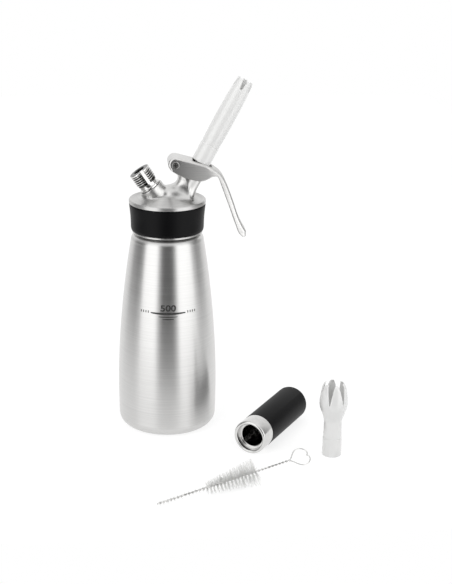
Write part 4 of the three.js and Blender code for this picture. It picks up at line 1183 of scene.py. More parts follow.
def valve_neck():
    """The flared neck along the valve axis, with the ear that carries the lever's pivot."""
    ear_arc = arc_points((-PIVOT_TO_VALVE, 0), EAR_RADIUS, 90, 240, 24)
    ear = outline_field(ear_arc + [EAR_BACK, (0, -EAR_FOOT), (0, PIPE_TOP - PLAIN_EDGE)])
    flare_radius, flare_top = PIPE_RADIUS + PIPE_FLARE, PIPE_FLARE_HEIGHT - PIPE_ROOT
    flare = [(flare_radius, -PIPE_ROOT), (flare_radius, flare_top),
             (PIPE_RADIUS, flare_top + PIPE_FLARE_HEIGHT), (PIPE_RADIUS, -PIPE_STRAIGHT)]
    pipe = outline_field([(PAST_AXIS, -PIPE_ROOT)] + smoothed(flare, 3).tolist()
                         + [(PIPE_RADIUS, PIPE_TOP - PLAIN_EDGE), (PIPE_RADIUS - PLAIN_EDGE, PIPE_TOP),
                            (PAST_AXIS, PIPE_TOP)])

    def field(x, y, z):
        deep = np.abs(x / np.where(x < 0, NECK_REAR_STRETCH, 1)) ** NECK_POWER
        wide = np.abs(y / NECK_SIDE_STRETCH) ** NECK_POWER
        neck = pipe((deep + wide) ** (1 / NECK_POWER), z)
        neck = union(neck, slab_field(ear(x, z), y, EAR_WIDTH / 2, EAR_EDGE), EAR_BLEND)
        between_cheeks = np.abs(y) - (LEVER_WIDTH / 2 - LEVER_SHEET - EAR_ROOM)
        return common(neck, np.minimum(between_cheeks, z + CHEEK_DEPTH), PLAIN_EDGE)

    return field


def bored(body, across, along, bores):
    """A body cut by round bores on one axis: radius, low end, high end and edge."""
    for radius, low, high, edge in bores:
        body = cut(body, rod_field(across, along, radius, low, high), edge)
    return body


def head_field():
    """The cast and turned head, with its hollows."""
    blank, cavity, cone, neck = head_blank(), head_cavity(), lid_cone(), valve_neck()
    port_bores = [(BOSS_SEAT_RADIUS, BOSS_TOP, BOSS_TOP + 2 * OVERRUN, TINY_EDGE),
                  (PORT_SOCKET_RADIUS, PORT_SOCKET_FOOT, BOSS_TOP + OVERRUN, CUT_EDGE),
                  (GAS_PASSAGE_RADIUS, -BOSS_ROOT, BOSS_TOP, CUT_EDGE)]
    valve_bores = [(FLANGE_LENGTH / 2 + FLANGE_ROOM, PIPE_TOP, FLANGE_HIGH, FINE_EDGE),
                   (SPRING_POCKET_RADIUS, PIPE_TOP - SPRING_POCKET_DEPTH, PIPE_TOP + OVERRUN, CUT_EDGE),
                   (STEM_PASSAGE_RADIUS, -VALVE_SEAT_DEPTH - OVERRUN, PIPE_TOP, CUT_EDGE)]
    pocket = [(VALVE_POCKET_RADIUS, -VALVE_SEAT_DEPTH - VALVE_POCKET_DEPTH, -VALVE_SEAT_DEPTH, CUT_EDGE)]

    def field(x, y, z):
        radius = np.sqrt(x ** 2 + y ** 2)
        port_x, port_y, port_z = local(PORT, x, y, z)
        port_across = np.sqrt(port_x ** 2 + port_y ** 2)
        valve_x, valve_y, valve_z = local(VALVE, x, y, z)
        across = np.sqrt(valve_x ** 2 + valve_y ** 2)
        boss = rod_field(port_across, port_z, BOSS_RADIUS, -BOSS_ROOT, BOSS_LIP, FULL_EDGE)
        valve_boss = rod_field(across, valve_z, VALVE_BOSS_RADIUS, -VALVE_SEAT_DEPTH,
                               VALVE_BOSS_LENGTH - VALVE_SEAT_DEPTH)
        body = union(blank(radius, z), union(cone(radius, z), saddle_field(x, y, z), SADDLE_BLEND), LID_BLEND)
        body = union(body, boss, BOSS_BLEND)
        body = union(body, neck(valve_x, valve_y, valve_z), NECK_BLEND)
        body = cut(body, cavity(radius, z))
        body = bored(body, across, valve_z, pocket)
        body = union(body, valve_boss, PLAIN_EDGE)
        body = bored(body, port_across, port_z, port_bores)
        body = bored(body, across, valve_z, valve_bores)
        hole = np.sqrt((x - PIVOT_PLACE[0]) ** 2 + (z - PIVOT_PLACE[2]) ** 2) - PIVOT_HOLE_RADIUS
        return cut(body, np.maximum(hole, np.abs(y) - LEVER_WIDTH))

    return field


def head_push(angles, radius, height):
    if abs(radius - HEAD_BORE_RADIUS) > SAME_RADIUS:
        return 0
    return HEAD_THREAD_SUNK - ridge_height(angles, height, NECK_THREAD_START + NECK_PITCH / 2, *NECK_THREAD)


def head_thread():
    """The ridge in the head's bore, half a pitch above the bottle's."""
    root = HEAD_BORE_RADIUS + SOFT_EDGE
    outline = ([(root, HEAD_THREAD_LOW - THREAD_MARGIN, 0)]
               + ladder(HEAD_BORE_RADIUS, HEAD_THREAD_LOW, HEAD_THREAD_HIGH, THREAD_STEP)
               + [(root, HEAD_THREAD_HIGH + THREAD_MARGIN, 0)])
    return turned(rounded_loop(outline, 0), ROUND_SEGMENTS, head_push)


def make_head():
    top = PIVOT_PLACE[2] + EAR_RADIUS
    shape = boxed_surface(head_field(), (RIM_RADIUS, RIM_RADIUS), (SKIRT_BOTTOM, top), HEAD_CELL, WIDE_MARGIN)
    add_piece("head", shape, UPRIGHT, HEAD_LOOK, "head", ["head_shell"])
    add_piece("head_thread", head_thread(), UPRIGHT, HEAD_LOOK, "head", ["head_shell"])


def make_band():
    outline = [(SKIRT_RADIUS + CLEARANCE + out, height, fillet) for out, height, fillet in BAND_POINTS]
    add_piece("grip_band_cover", turned(rounded_loop(outline, PLAIN_EDGE, 8)), UPRIGHT, SILICONE, "head",
              ["grip_band"])


# Charger port
def port_push(angles, radius, height):
    """The thread ridge, and the flat floor of the vent slot cut along it."""
    outward = np.zeros(len(angles))
    if height <= PORT_UNDERCUT_TOP:
        return outward
    if abs(radius - PORT_RADIUS + PORT_RIDGE) < SAME_RADIUS:
        outward = ridge_height(angles, height, PORT_THREAD_START, *PORT_THREAD)
    if radius > PORT_UNDERCUT_RADIUS + FINE_EDGE:
        turn = np.mod(angles - VENT_ANGLE + math.pi, 2 * math.pi) - math.pi
        floor = (PORT_RADIUS - VENT_DEPTH) / np.maximum(np.cos(turn), 0.1)
        across = np.abs(np.sin(turn)) * radius
        depth = np.clip((VENT_WIDTH / 2 - across) / THIN_EDGE, 0, 1) * (np.cos(turn) > 0)
        outward += (np.minimum(floor, radius + outward) - radius - outward) * depth
    return outward


def make_port():
    lip = PORT_LENGTH - PORT_LIP
    shoulder = PORT_LENGTH - PORT_CHAMFER
    outline = [(GAS_PASSAGE_RADIUS, PORT_SPIGOT_FOOT), (PORT_SPIGOT_RADIUS, PORT_SPIGOT_FOOT),
               (PORT_SPIGOT_RADIUS, PORT_SEAT, TINY_EDGE), (PORT_RADIUS, PORT_SEAT),
               (PORT_RADIUS, PORT_COLLAR_TOP), (PORT_UNDERCUT_RADIUS, PORT_COLLAR_TOP, PORT_UNDERCUT_FILLET),
               (PORT_UNDERCUT_RADIUS, PORT_UNDERCUT_TOP, FULL_EDGE)]
    outline += ladder(PORT_RADIUS - PORT_RIDGE, PORT_UNDERCUT_TOP + THREAD_MARGIN / 2,
                      lip - THREAD_MARGIN / 2, PORT_THREAD_STEP)
    outline += [(PORT_RADIUS - SOFT_EDGE, lip, 0), (PORT_RADIUS, lip + SOFT_EDGE, PLAIN_EDGE),
                (PORT_RADIUS, shoulder, SOFT_EDGE), (PORT_RADIUS - PORT_CHAMFER, PORT_LENGTH, SOFT_EDGE),
                (PORT_BORE_RADIUS + PORT_CHAMFER, PORT_LENGTH, SOFT_EDGE),
                (PORT_BORE_RADIUS, shoulder, SOFT_EDGE), (PORT_BORE_RADIUS, PORT_COLLAR_TOP, FINE_EDGE),
                (GAS_PASSAGE_RADIUS, PORT_COLLAR_TOP, FINE_EDGE)]
    shape = turned(rounded_loop(outline, THIN_EDGE), PORT_SEGMENTS, port_push)
    add_piece("charger_port_thread", shape, PORT, PORT_LOOK, "head", ["charger_port"])


# Small turned pieces
def ring_corners(inner, outer, low, height):
    return [(inner, low), (outer, low), (outer, low + height), (inner, low + height)]


def port_pieces():
    """What the charger port holds: node, corners, fillet, look and body."""
    wide = PORT_BORE_RADIUS - CLEARANCE
    foot, flange, shoulder, tip = (PORT_COLLAR_TOP + height for height in PIN_HEIGHTS)
    pin = [(PIN_BORE, foot), (wide, foot), (wide, flange), (PIN_RADIUS, flange, FULL_EDGE),
           (PIN_RADIUS, shoulder), (PIN_TIP_RADIUS, tip, PIN_TIP_EDGE), (PIN_BORE, tip, PIN_TIP_EDGE)]
    gasket_foot = BOSS_TOP + CLEARANCE
    gasket = ring_corners(PORT_SPIGOT_RADIUS + CLEARANCE, PORT_RADIUS - CLEARANCE, gasket_foot,
                          PORT_SEAT - CLEARANCE - gasket_foot)
    seal = ring_corners(PIN_RADIUS + CLEARANCE, wide, flange + CLEARANCE, PORT_SEAL_HEIGHT)
    valve_foot = PORT_SOCKET_FOOT + CLEARANCE
    valve = ring_corners(CHECK_BORE, PORT_SOCKET_RADIUS - CLEARANCE, valve_foot,
                         PORT_SPIGOT_FOOT - CLEARANCE - valve_foot)
    return [("port_gasket", gasket, THIN_EDGE, RUBBER, "head"),
            ("piercing_pin", pin, FINE_EDGE, POLISHED, "head"),
            ("port_seal", seal, FULL_EDGE, RUBBER, "head"), ("check_valve", valve, SOFT_EDGE, RUBBER, "head")]


def valve_pieces():
    """What lies along the valve axis: node, corners, fillet, look and body."""
    bore = STEM_RADIUS + CLEARANCE
    wide = SPRING_POCKET_RADIUS - CLEARANCE
    guide_foot = PIPE_TOP - SPRING_POCKET_DEPTH + CLEARANCE
    guide = ring_corners(bore, wide, guide_foot, GUIDE_LENGTH)
    oring = ring_corners(bore, wide, guide_foot + GUIDE_LENGTH + CLEARANCE, ORING_THICKNESS)
    seal_foot = -VALVE_SEAT_DEPTH - CLEARANCE - STEM_SEAL_HEIGHT
    seal = ring_corners(bore, STEM_SEAL_RADIUS, seal_foot, STEM_SEAL_HEIGHT)
    insert = ring_corners(INSERT_BORE, INSERT_RADIUS, NOZZLE_FOOT + CLEARANCE, INSERT_LENGTH)
    stem = [(0, STEM_BORE_FOOT), (0, STEM_BOTTOM), (STEM_RADIUS, STEM_BOTTOM), (STEM_RADIUS, STEM_TOP),
            (STEM_BORE, STEM_TOP), (STEM_BORE, STEM_BORE_FOOT)]
    return [("valve_stem", stem, PLAIN_EDGE, POLISHED, "valve"),
            ("stem_guide", guide, SOFT_EDGE, PLASTIC, "head"),
            ("guide_oring", oring, ROUND_EDGE, RUBBER, "head"), ("stem_seal", seal, SOFT_EDGE, RUBBER, "valve"),
            ("nozzle_insert", insert, FINE_EDGE, POLISHED, "nozzle")]


def make_small_pieces():
    gasket_foot = NECK_LIP_HEIGHT + CLEARANCE
    gasket = ring_corners(GASKET_BORE, HEAD_BORE_RADIUS - CLEARANCE, gasket_foot,
                          GASKET_SEAT_HEIGHT - CLEARANCE - gasket_foot)
    insert = ring_corners(INSERT_BORE, INSERT_RADIUS, CLEARANCE, INSERT_LENGTH)
    groups = [(UPRIGHT, [("head_gasket", gasket, SOFT_EDGE, RUBBER, "gasket")]), (PORT, port_pieces()),
              (VALVE, valve_pieces()), (TULIP, [("tulip_insert", insert, FINE_EDGE, POLISHED, "tulip_tip")])]
    for spot, pieces in groups:
        for name, corners, fillet, look, body in pieces:
            outline = rounded(corners, fillet) if corners[0][0] == 0 else rounded_loop(corners, fillet)
            add_piece(name + "_look", turned(outline, SMALL_SEGMENTS), spot, look, body, [name])


# Nuts and screw
def make_nut(name, spot, bore, radius, low, height, body):
    """A six-sided nut with chamfered corners."""
    flats = outline_field([(radius * math.cos(k * math.pi / 3), radius * math.sin(k * math.pi / 3))
                           for k in range(6)])
    half = height / 2

    def field(x, y, z):
        across = np.sqrt(x ** 2 + y ** 2)
        from_middle = z - low - half
        solid = slab_field(flats(x, y), from_middle, half, SLIGHT_EDGE)
        cone = (across - radius + (np.abs(from_middle) - half) * NUT_CHAMFER_SLOPE + NUT_CHAMFER) / 2
        return cut(common(solid, cone, TINY_EDGE), across - bore, FINE_EDGE)

    shape = boxed_surface(field, (radius, radius), (low, low + height), SMALL_CELL, FINE_MARGIN)
    add_piece(name + "_look", shape, spot, POLISHED, body, [name])


def make_nuts():
    make_nut("pivot_nut", SCREW, PIVOT_HOLE_RADIUS, NUT_RADIUS, -SCREW_SEAT - NUT_HEIGHT, NUT_HEIGHT, "head")
    make_nut("seal_retainer", VALVE, STEM_RADIUS + CLEARANCE, RETAINER_RADIUS, STEM_BOTTOM + RETAINER_RISE,
             RETAINER_HEIGHT, "valve")


def make_screw():
    """The pivot screw, with a domed head and a cross recess."""
    shank_foot = -SCREW_SEAT - SCREW_END
    head_top = SCREW_SEAT + SCREW_HEAD_HEIGHT

    def field(x, y, z):
        across = np.sqrt(x ** 2 + y ** 2)
        shank = rod_field(across, z, SCREW_RADIUS, shank_foot, SCREW_SEAT + FULL_EDGE)
        head = rod_field(across, z, SCREW_HEAD_RADIUS, SCREW_SEAT, head_top, FULL_EDGE)
        solid = union(shank, head, FINE_EDGE)
        bottom = SCREW_SEAT - CROSS_SUNK + across / 2
        for a, b in ((x, y), (y, x)):
            arm = np.maximum(np.abs(a) - CROSS_HALF_WIDTH, np.abs(b) - CROSS_REACH)
            solid = cut(solid, np.maximum(arm, bottom - z), CROSS_EDGE)
        return solid

    shape = boxed_surface(field, (SCREW_HEAD_RADIUS, SCREW_HEAD_RADIUS), (shank_foot, head_top), SMALL_CELL,
                          FINE_MARGIN)
    add_piece("pivot_screw_look", shape, SCREW, SCREW_LOOK, "head", ["pivot_screw"])


# Valve spring and adapter
def make_spring():
    shares = np.linspace(0, 1, SPRING_TURNS * 32 + 1)
    angles = shares * SPRING_TURNS * 2 * math.pi
    heights = SPRING_BOTTOM + shares * (SPRING_TOP - SPRING_BOTTOM)
    path = np.stack([SPRING_RADIUS * np.cos(angles), SPRING_RADIUS * np.sin(angles), heights], 1)
    spring = add_piece("valve_spring_coil", tube_along(path, SPRING_WIRE, 10), VALVE, POLISHED, "head",
                       ["valve_spring"])
    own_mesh(spring)


def make_adapter():
    """The threaded adapter on the stem, with the flange that the lever presses."""

    def field(x, y, z):
        across = np.sqrt(x ** 2 + y ** 2)
        flange = rod_field(across, z, FLANGE_LENGTH / 2, FLANGE_LOW, FLANGE_HIGH, CUT_EDGE)
        flange = common(flange, np.abs(x) - FLANGE_WIDTH / 2, FULL_EDGE)
        neck = rod_field(across, z, ADAPTER_NECK_RADIUS, FLANGE_LOW, ADAPTER_THREAD_FOOT + ADAPTER_OVERRUN)
        wave = ADAPTER_WAVE * np.cos((z / ADAPTER_PITCH - np.arctan2(y, x) / (2 * math.pi)) * 2 * math.pi)
        thread = rod_field(across + ADAPTER_WAVE - wave, z, ADAPTER_THREAD_RADIUS, ADAPTER_THREAD_FOOT,
                           ADAPTER_TOP)
        solid = union(union(flange, neck, FULL_EDGE), thread * WAVE_SLOPE_SHARE, PLAIN_EDGE)
        return bored(solid, across, z, [
            (STEM_RADIUS + CLEARANCE, FLANGE_LOW - ADAPTER_OVERRUN, STEM_TOP + CLEARANCE, CUT_EDGE),
            (ADAPTER_BORE, STEM_TOP, ADAPTER_TOP + ADAPTER_OVERRUN, CUT_EDGE)])

    halves = (ADAPTER_GRID_HALF, FLANGE_LENGTH / 2)
    shape = boxed_surface(field, halves, (FLANGE_LOW, ADAPTER_TOP), ADAPTER_CELL)
    add_piece("nozzle_adapter_look", shape, VALVE, POLISHED, "valve", ["nozzle_adapter"])


# Nozzles
def wedges(x, y, z, count, phase, foot, top, root, mouth):
    """V-shaped gaps round an axis, open at the top."""
    step = 2 * math.pi / count
    angle = np.arctan2(y, x) - phase
    turn = np.mod(angle + step / 2, step) - step / 2
    across = np.abs(np.sqrt(x ** 2 + y ** 2) * np.sin(turn))
    share = np.clip((z - foot) / (top - foot), 0, 1.2)
    half = (root + (mouth - root) * share) / 2
    return np.maximum((across - half) * 0.9, foot - z)


def moulded_tip(name, node, spot, body, foot, collar, skin, reach, gaps):
    """A tip turned from its foot and skin, with a socket for its insert and gaps round its mouth."""
    low, top = foot[0][1], skin[-1][1]
    ceiling = low + SOCKET_DEPTH
    throat = [(ADAPTER_THREAD_RADIUS, ceiling + NOZZLE_WALL), (ADAPTER_THREAD_RADIUS, ceiling),
              (SOCKET_RADIUS, ceiling)]
    lining = (skin - (NOZZLE_WALL, 0))[::-1]
    outline = outline_field(np.concatenate([foot, collar, skin, lining, throat]), spacing=0.1)

    def field(x, y, z):
        return cut(outline(np.sqrt(x ** 2 + y ** 2), z), wedges(x, y, z, *gaps), SOFT_EDGE)

    shape = boxed_surface(field, (reach, reach), (low, top), TIP_CELL)
    add_piece(name, shape, spot, PLASTIC, body, [node])


def make_straight_nozzle():
    """The nozzle with a grooved collar and a pronged tip."""
    heights = (NOZZLE_COLLAR_TOP, NOZZLE_TIP)
    swell = profile(NOZZLE_SWELL_SHARES, NOZZLE_BODY_RADIUS, NOZZLE_MIDDLE_RADIUS, *heights)
    taper = profile(NOZZLE_TAPER_SHARES, NOZZLE_TIP_RADIUS, NOZZLE_MIDDLE_RADIUS, *heights)
    skin = smoothed([(NOZZLE_BODY_RADIUS, NOZZLE_COLLAR_TOP + COLLAR_GROOVE)] + swell + taper, 3)
    foot = [(SOCKET_RADIUS, NOZZLE_FOOT), (NOZZLE_COLLAR_RADIUS - COLLAR_GROOVE, NOZZLE_FOOT),
            (NOZZLE_COLLAR_RADIUS, NOZZLE_FOOT + COLLAR_GROOVE)]
    collar = [(NOZZLE_COLLAR_RADIUS, NOZZLE_COLLAR_TOP - COLLAR_GROOVE),
              (NOZZLE_BODY_RADIUS - COLLAR_GROOVE, NOZZLE_COLLAR_TOP)]
    gaps = (NOZZLE_PRONGS, NOZZLE_TURN - math.pi / 2, NOZZLE_TIP - NOZZLE_SLOT_LENGTH,
            NOZZLE_TIP + GAP_OVERRUN, NOZZLE_SLOT_ROOT, NOZZLE_SLOT_MOUTH)
    moulded_tip("straight_nozzle_look", "straight_nozzle", VALVE, "nozzle", foot, collar, skin,
                NOZZLE_COLLAR_RADIUS, gaps)


def make_tulip():
    """The tip whose bulb ends in pointed petals."""
    heights = (TULIP_WAIST_HEIGHT, TULIP_HEIGHT)
    bulb = profile(TULIP_BULB_SHARES, TULIP_WAIST_RADIUS, TULIP_BELLY_RADIUS, *heights)
    crown = profile(TULIP_CROWN_SHARES, TULIP_MOUTH_RADIUS, TULIP_BELLY_RADIUS, *heights)
    start = (TULIP_FOOT_RADIUS - SLIGHT_EDGE, TULIP_COLLAR_TOP + SOFT_EDGE)
    foot = [(SOCKET_RADIUS, 0), (TULIP_FOOT_RADIUS - PLAIN_EDGE, 0), (TULIP_FOOT_RADIUS, PLAIN_EDGE)]
    collar = [(TULIP_FOOT_RADIUS, TULIP_COLLAR_TOP - COLLAR_GROOVE),
              (TULIP_FOOT_RADIUS - COLLAR_GROOVE, TULIP_COLLAR_TOP)]
    mouth = 2 * TULIP_MOUTH_RADIUS * math.tan(math.pi / TULIP_PETALS) - TULIP_PETAL_TIP
    gaps = (TULIP_PETALS, math.pi / 2, TULIP_GAP_FOOT, TULIP_HEIGHT + GAP_OVERRUN, TULIP_GAP_ROOT, mouth)
    moulded_tip("tulip_nozzle_look", "tulip_nozzle", TULIP, "tulip_tip", foot, collar,
                smoothed([start] + bulb + crown, 3), TULIP_BELLY_RADIUS, gaps)


# Lever
def lever_runs():
    """The top run from the rear round to the handle's tip, and the run back under it."""
    rear = arc_points((0, 0), LEVER_REAR_RADIUS, LEVER_REAR_DEGREES, 90 - math.degrees(LEVER_TILT), 20)
    start = rear[-1]
    straight = (start[0] + LEVER_PLATE * math.cos(LEVER_TILT), start[1] - LEVER_PLATE * math.sin(LEVER_TILT))
    outer, under = ([(x * LEVER_REACH, z * LEVER_DROP) for x, z in shares]
                    for shares in (LEVER_OUTER_SHARES, LEVER_UNDER_SHARES))
    top = np.concatenate([rear, smoothed([start, straight] + outer, 2)[1:]])
    return top, smoothed([outer[-1]] + under, 2)[1:]


def lever_field():
    top, under = lever_runs()
    side = outline_field(np.concatenate([top, under]))
    bottom = -LEVER_DROP - LEVER_FAR
    far = [(top[-1][0], bottom), (-LEVER_HOLLOW_REACH, bottom), (-LEVER_HOLLOW_REACH, -LEVER_HOLLOW_DROP)]
    inside = outline_field(np.concatenate([top, far]), margin=8)
    cosine, sine = math.cos(LEVER_TILT), math.sin(LEVER_TILT)

    def field(x, y, z):
        under = inside(x, z)
        share = np.clip((x - LEVER_LEAN_START) / LEVER_LEAN_RUN, 0, 1)
        lean = LEVER_LEAN * share * share * (3 - 2 * share)
        half = LEVER_WIDTH / 2 - lean * np.clip(LEVER_LEAN_DEPTH + under, 0, LEVER_LEAN_DEPTH)
        skin = slab_field(side(x, z), y, half, LEVER_EDGE)
        bend = slab_field(under, y, half, LEVER_BEND)
        hollow = slab_field(under + LEVER_SHEET, y, half - LEVER_SHEET, LEVER_BEND - LEVER_SHEET)
        body = cut(common(skin, bend, PLAIN_EDGE), hollow, THIN_EDGE)
        along, above = x * cosine - z * sine, x * sine + z * cosine
        slot = box_field(along - LEVER_SLOT_CENTRE, y, LEVER_SLOT_LENGTH / 2, LEVER_SLOT_WIDTH / 2,
                         LEVER_SLOT_CORNER)
        slot = np.maximum(slot, np.abs(above - LEVER_REAR_RADIUS + LEVER_SHEET) - 2 * LEVER_SHEET)
        body = cut(body, slot, PLAIN_EDGE)
        return cut(body, np.sqrt(x ** 2 + z ** 2) - PIVOT_HOLE_RADIUS, FINE_EDGE)

    return field


def make_lever():
    half = LEVER_WIDTH / 2
    low = np.array((-LEVER_REAR_RADIUS, -half, -LEVER_DROP)) - WIDE_MARGIN
    high = np.array((LEVER_REACH + OVERRUN, half, LEVER_REAR_RADIUS)) + WIDE_MARGIN
    shape = surface_of(lever_field(), low, high, LEVER_CELL)
    add_piece("lever_look", shape, PIVOT, LEVER_LOOK, "lever", ["lever"])


# Charger holder
def make_holder_tube():
    mouth, lip = HOLDER_MOUTH_RADIUS, HOLDER_LIP_CHAMFER
    step = HOLDER_MOUTH_DEPTH + HOLDER_STEP_CHAMFER
    bore = [(0, HOLDER_BORE_DEPTH), (HOLDER_CHARGER_RADIUS, HOLDER_BORE_DEPTH, HOLDER_BORE_FILLET),
            (HOLDER_CHARGER_RADIUS, HOLDER_ENTRY_DEPTH + CLEARANCE, TINY_EDGE)]
    entry = [(HOLDER_ENTRY_RADIUS, HOLDER_ENTRY_DEPTH), (HOLDER_ENTRY_RADIUS, step)]
    ring = [(HOLDER_ENTRY_RADIUS + HOLDER_STEP_CHAMFER, HOLDER_MOUTH_DEPTH, FINE_EDGE),
            (mouth, HOLDER_MOUTH_DEPTH), (mouth, HOLDER_MOUTH_CHAMFER), (mouth + HOLDER_MOUTH_CHAMFER, 0),
            (HOLDER_RING_RADIUS - lip, 0, BROAD_EDGE), (HOLDER_RING_RADIUS, lip, BROAD_EDGE),
            (HOLDER_RING_RADIUS, HOLDER_RING_LENGTH), (HOLDER_TUBE_RADIUS, HOLDER_RING_LENGTH),
            (HOLDER_TUBE_RADIUS, HOLDER_TUBE_END, FULL_EDGE), (0, HOLDER_TUBE_END)]
    shape = turned(rounded(bore + unrounded(entry) + ring, PLAIN_EDGE))
    add_piece("holder_tube", shape, HOLDER, RING_LOOK, "charger_holder", ["holder_body"])


def make_holder_cover():
    inner = HOLDER_TUBE_RADIUS + CLEARANCE
    start, end = HOLDER_RING_LENGTH + CLEARANCE, HOLDER_TUBE_END + CLEARANCE
    centre = (HOLDER_RADIUS - HOLDER_END_CORNER, HOLDER_LENGTH - HOLDER_END_CORNER)
    outline = [(0, end), (inner, end, FULL_EDGE), (inner, start), (HOLDER_RADIUS, start, FULL_EDGE)]
    outline += unrounded(arc_points(centre, HOLDER_END_CORNER, 0, 90, 14)) + [(0, HOLDER_LENGTH)]
    add_piece("holder_cover", turned(rounded(outline, PLAIN_EDGE)), HOLDER, SILICONE, "charger_holder",
              ["holder_grip"])


# Cleaning brush
def heart_path(steps):
    """The loop at the wire's end, closed, as a sum of cosines along its own length."""
    angles = math.pi + np.arange(steps) / steps * 2 * math.pi
    rise = sum(factor * np.cos((k + 1) * angles) for k, factor in enumerate(HEART_SHARES))
    along = (rise - rise.min()) / (rise.max() - rise.min()) * LOOP_LENGTH
    across = np.sin(angles) ** 3 / 2 * LOOP_WIDTH
    turn = (math.cos(LOOP_ROLL), math.sin(LOOP_ROLL))
    return np.stack([-across * turn[1], across * turn[0], along + BRUSH_HANDLE_END - BRUSH_WIRE], 1)


def twisted_strand(phase):
    """One strand of the twisted wire, along +Z."""
    heights = np.linspace(BRUSH_WIRE_START, BRUSH_HANDLE_END, int((BRUSH_HANDLE_END - BRUSH_WIRE_START) * 4))
    angles = heights / BRUSH_TWIST * 2 * math.pi + phase
    return np.stack([BRUSH_WIRE * np.cos(angles), BRUSH_WIRE * np.sin(angles), heights], 1)


def brush_radius(along):
    share = (along - BRUSH_THIN_LENGTH) / (BRUSH_LENGTH - BRUSH_THIN_LENGTH)
    cone = BRUSH_CONE_START + (BRUSH_CONE_END - BRUSH_CONE_START) * share
    return np.where(share < 0, BRUSH_THIN_RADIUS, cone)


def bristle_points(random):
    """Tapered three-sided strands that leave the twist on both sides, with a slight bend."""
    thin = random.uniform(BRUSH_THIN_START, BRUSH_THIN_LENGTH, BRUSH_THIN_STRANDS)
    cone = random.uniform(BRUSH_THIN_LENGTH, BRUSH_LENGTH - BRUSH_END_ROOM, BRUSH_STRANDS)
    along = np.concatenate([thin, cone])
    count = len(along)
    side = np.where(random.random(count) < 0.5, 0, math.pi)
    angle = along / BRUSH_TWIST * 2 * math.pi + side + random.normal(0, STRAND_TURN_SPREAD, count)
    length = brush_radius(along) * random.uniform(*STRAND_LENGTH_SHARES, count)
    lean = random.normal(0, STRAND_LEAN_SPREAD, count)
    rings = []
    for share, width_share in STRAND_RING_SHARES:
        radius = length * share
        height = np.clip(along + lean * radius * share, BRUSH_WIRE_START, BRUSH_LENGTH)
        for corner in range(3):
            turn = corner * 2 * math.pi / 3
            tangent = BRUSH_STRAND_RADIUS * width_share * math.cos(turn)
            rings.append(np.stack([
                radius * np.cos(angle) - tangent * np.sin(angle),
                radius * np.sin(angle) + tangent * np.cos(angle),
                height + BRUSH_STRAND_RADIUS * width_share * math.sin(turn)], 1))
    return np.stack(rings, 1).reshape(-1, 3), count


def make_bristles():
    points, count = bristle_points(np.random.default_rng(STRAND_SEED))
    pattern = [[0, 1, 4, 3], [1, 2, 5, 4], [2, 0, 3, 5], [3, 4, 7, 6], [4, 5, 8, 7], [5, 3, 6, 8], [0, 2, 1],
               [6, 7, 8]]
    faces = [[k + 9 * strand for k in face] for strand in range(count) for face in pattern]
    add_piece("brush_strands", (points, faces), BRUSH, NYLON, "brush", ["brush_bristles"])


def make_brush_wire():
    strands = [tube_along(twisted_strand(phase), BRUSH_WIRE) for phase in (0, math.pi)]
    loop = tube_along(heart_path(96), BRUSH_WIRE, 10, closed=True)
    add_piece("brush_twist", joined(*strands, loop), BRUSH, POLISHED, "brush", ["brush_wire"])


# Studio
def make_camera():
    data = bpy.data.cameras.new("camera")
    data.lens = CAMERA_LENS
    data.sensor_width = CAMERA_SENSOR
    camera = linked(bpy.data.objects.new("camera", data))
    forward = Vector((math.sin(CAMERA_YAW) * math.cos(CAMERA_PITCH),
                      math.cos(CAMERA_YAW) * math.cos(CAMERA_PITCH), -math.sin(CAMERA_PITCH)))
    level = Vector((math.cos(CAMERA_YAW), -math.sin(CAMERA_YAW), 0))
    up = level.cross(forward)
    right = level * math.cos(CAMERA_ROLL) + up * math.sin(CAMERA_ROLL)
    above = up * math.cos(CAMERA_ROLL) - level * math.sin(CAMERA_ROLL)
    turn = Matrix((right, above, -forward)).transposed()
    camera.matrix_world = Matrix.Translation(CAMERA_PLACE) @ turn.to_4x4()
    bpy.context.scene.camera = camera


def grey(level):
    return (level, level, level, 1)


def shown_ray(tree):
    """1 for camera, glossy and transmission rays, and 0 for the rays that light the object."""
    rays = new_node(tree, "ShaderNodeLightPath", {}).outputs
    either = math_node(tree, "MAXIMUM", rays["Is Camera Ray"], rays["Is Glossy Ray"])
    return math_node(tree, "MAXIMUM", either, rays["Is Transmission Ray"])


def floor_white():
    """White that takes a shadow. What lights the object from it is a plain diffuse white."""
    material = bpy.data.materials.new("floor_white")
    material.use_nodes = True
    tree = material.node_tree
    tree.nodes.clear()
    lit = result(tree, "ShaderNodeBsdfDiffuse", {"Color": grey(FLOOR_WHITE)})
    faint = result(tree, "ShaderNodeBsdfDiffuse", {"Color": grey(FLOOR_SHADOW_WHITE)})
    glow = result(tree, "ShaderNodeEmission", {"Color": grey(1), "Strength": FLOOR_GLOW})
    shown = result(tree, "ShaderNodeAddShader", {0: faint, 1: glow})
    mix = result(tree, "ShaderNodeMixShader", {0: shown_ray(tree), 1: lit, 2: shown})
    new_node(tree, "ShaderNodeOutputMaterial", {"Surface": mix})
    return material


def make_floor():
    """A white table that keeps the object's shadow."""
    corners = [(x, y, 0) for x, y in ((FLOOR_LEFT, FLOOR_FRONT), (FLOOR_RIGHT, FLOOR_FRONT),
                                      (FLOOR_RIGHT, FLOOR_BACK), (FLOOR_LEFT, FLOOR_BACK))]
    mesh = bpy.data.meshes.new("floor")
    mesh.from_pydata(corners, [], [[0, 1, 2, 3]])
    floor = linked(bpy.data.objects.new("floor", mesh))
    mesh.materials.append(floor_white())


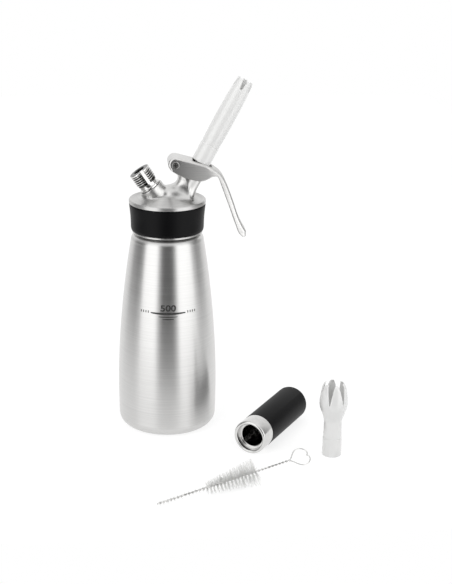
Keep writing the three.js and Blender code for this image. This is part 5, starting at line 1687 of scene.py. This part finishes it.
def studio_ramp(tree, azimuth):
    """The studio's brightness round the object, from the table of shares."""
    share = math_node(tree, "ADD", math_node(tree, "DIVIDE", azimuth, 2 * math.pi), 0.5)
    ramp = new_node(tree, "ShaderNodeValToRGB", {0: share})
    ramp.color_ramp.interpolation = "EASE"
    elements = ramp.color_ramp.elements
    while len(elements) > 1:
        elements.remove(elements[0])
    for i, (degrees, level) in enumerate(STUDIO_SHARES):
        position = 0.5 + degrees / 360
        element = elements[0] if i == 0 else elements.new(position)
        element.position = position
        element.color = grey(level)
    return ramp.outputs[0]


def make_world():
    """White to the camera. Metal sees a studio of bright screens with a dark gap at the camera's side."""
    world = bpy.data.worlds.new("studio")
    bpy.context.scene.world = world
    world.use_nodes = True
    tree = world.node_tree
    tree.nodes.clear()
    x, y, z = axes_of(tree, new_node(tree, "ShaderNodeTexCoord", {}).outputs["Generated"])
    ramp = studio_ramp(tree, math_node(tree, "ARCTAN2", x, math_node(tree, "MULTIPLY", y, -1)))
    ceiling = mixed(tree, ranged(tree, z, *OVERHEAD_SHARES), ramp, grey(OVERHEAD_LEVEL))
    studio = result(tree, "ShaderNodeBackground", {"Color": ceiling, "Strength": STUDIO_LEVEL})
    daylight = result(tree, "ShaderNodeBackground", {"Color": grey(1), "Strength": DAYLIGHT_LEVEL})
    white = result(tree, "ShaderNodeBackground", {"Color": grey(1), "Strength": 1.0})
    glossy = result(tree, "ShaderNodeMixShader", {0: shown_ray(tree), 1: daylight, 2: studio})
    rays = new_node(tree, "ShaderNodeLightPath", {}).outputs
    seen = result(tree, "ShaderNodeMixShader", {0: rays["Is Camera Ray"], 1: glossy, 2: white})
    new_node(tree, "ShaderNodeOutputWorld", {"Surface": seen})


def make_lamps():
    for name, (spot, width, power) in LAMPS.items():
        data = bpy.data.lights.new(name, "AREA")
        data.size = width
        data.energy = power
        lamp = linked(bpy.data.objects.new(name, data))
        lamp.location = spot
        lamp.rotation_mode = "QUATERNION"
        lamp.rotation_quaternion = (Vector(LAMP_TARGET) - Vector(spot)).to_track_quat("-Z", "Y")
        lamp.visible_glossy = False


make_camera()
make_bottle()
make_fill_mark()
make_head()
make_band()
make_port()
make_small_pieces()
make_nuts()
make_screw()
make_spring()
make_adapter()
make_straight_nozzle()
make_tulip()
make_lever()
make_holder_tube()
make_holder_cover()
make_bristles()
make_brush_wire()
make_floor()
make_world()
make_lamps()
bpy.context.scene.view_settings.view_transform = "Standard"
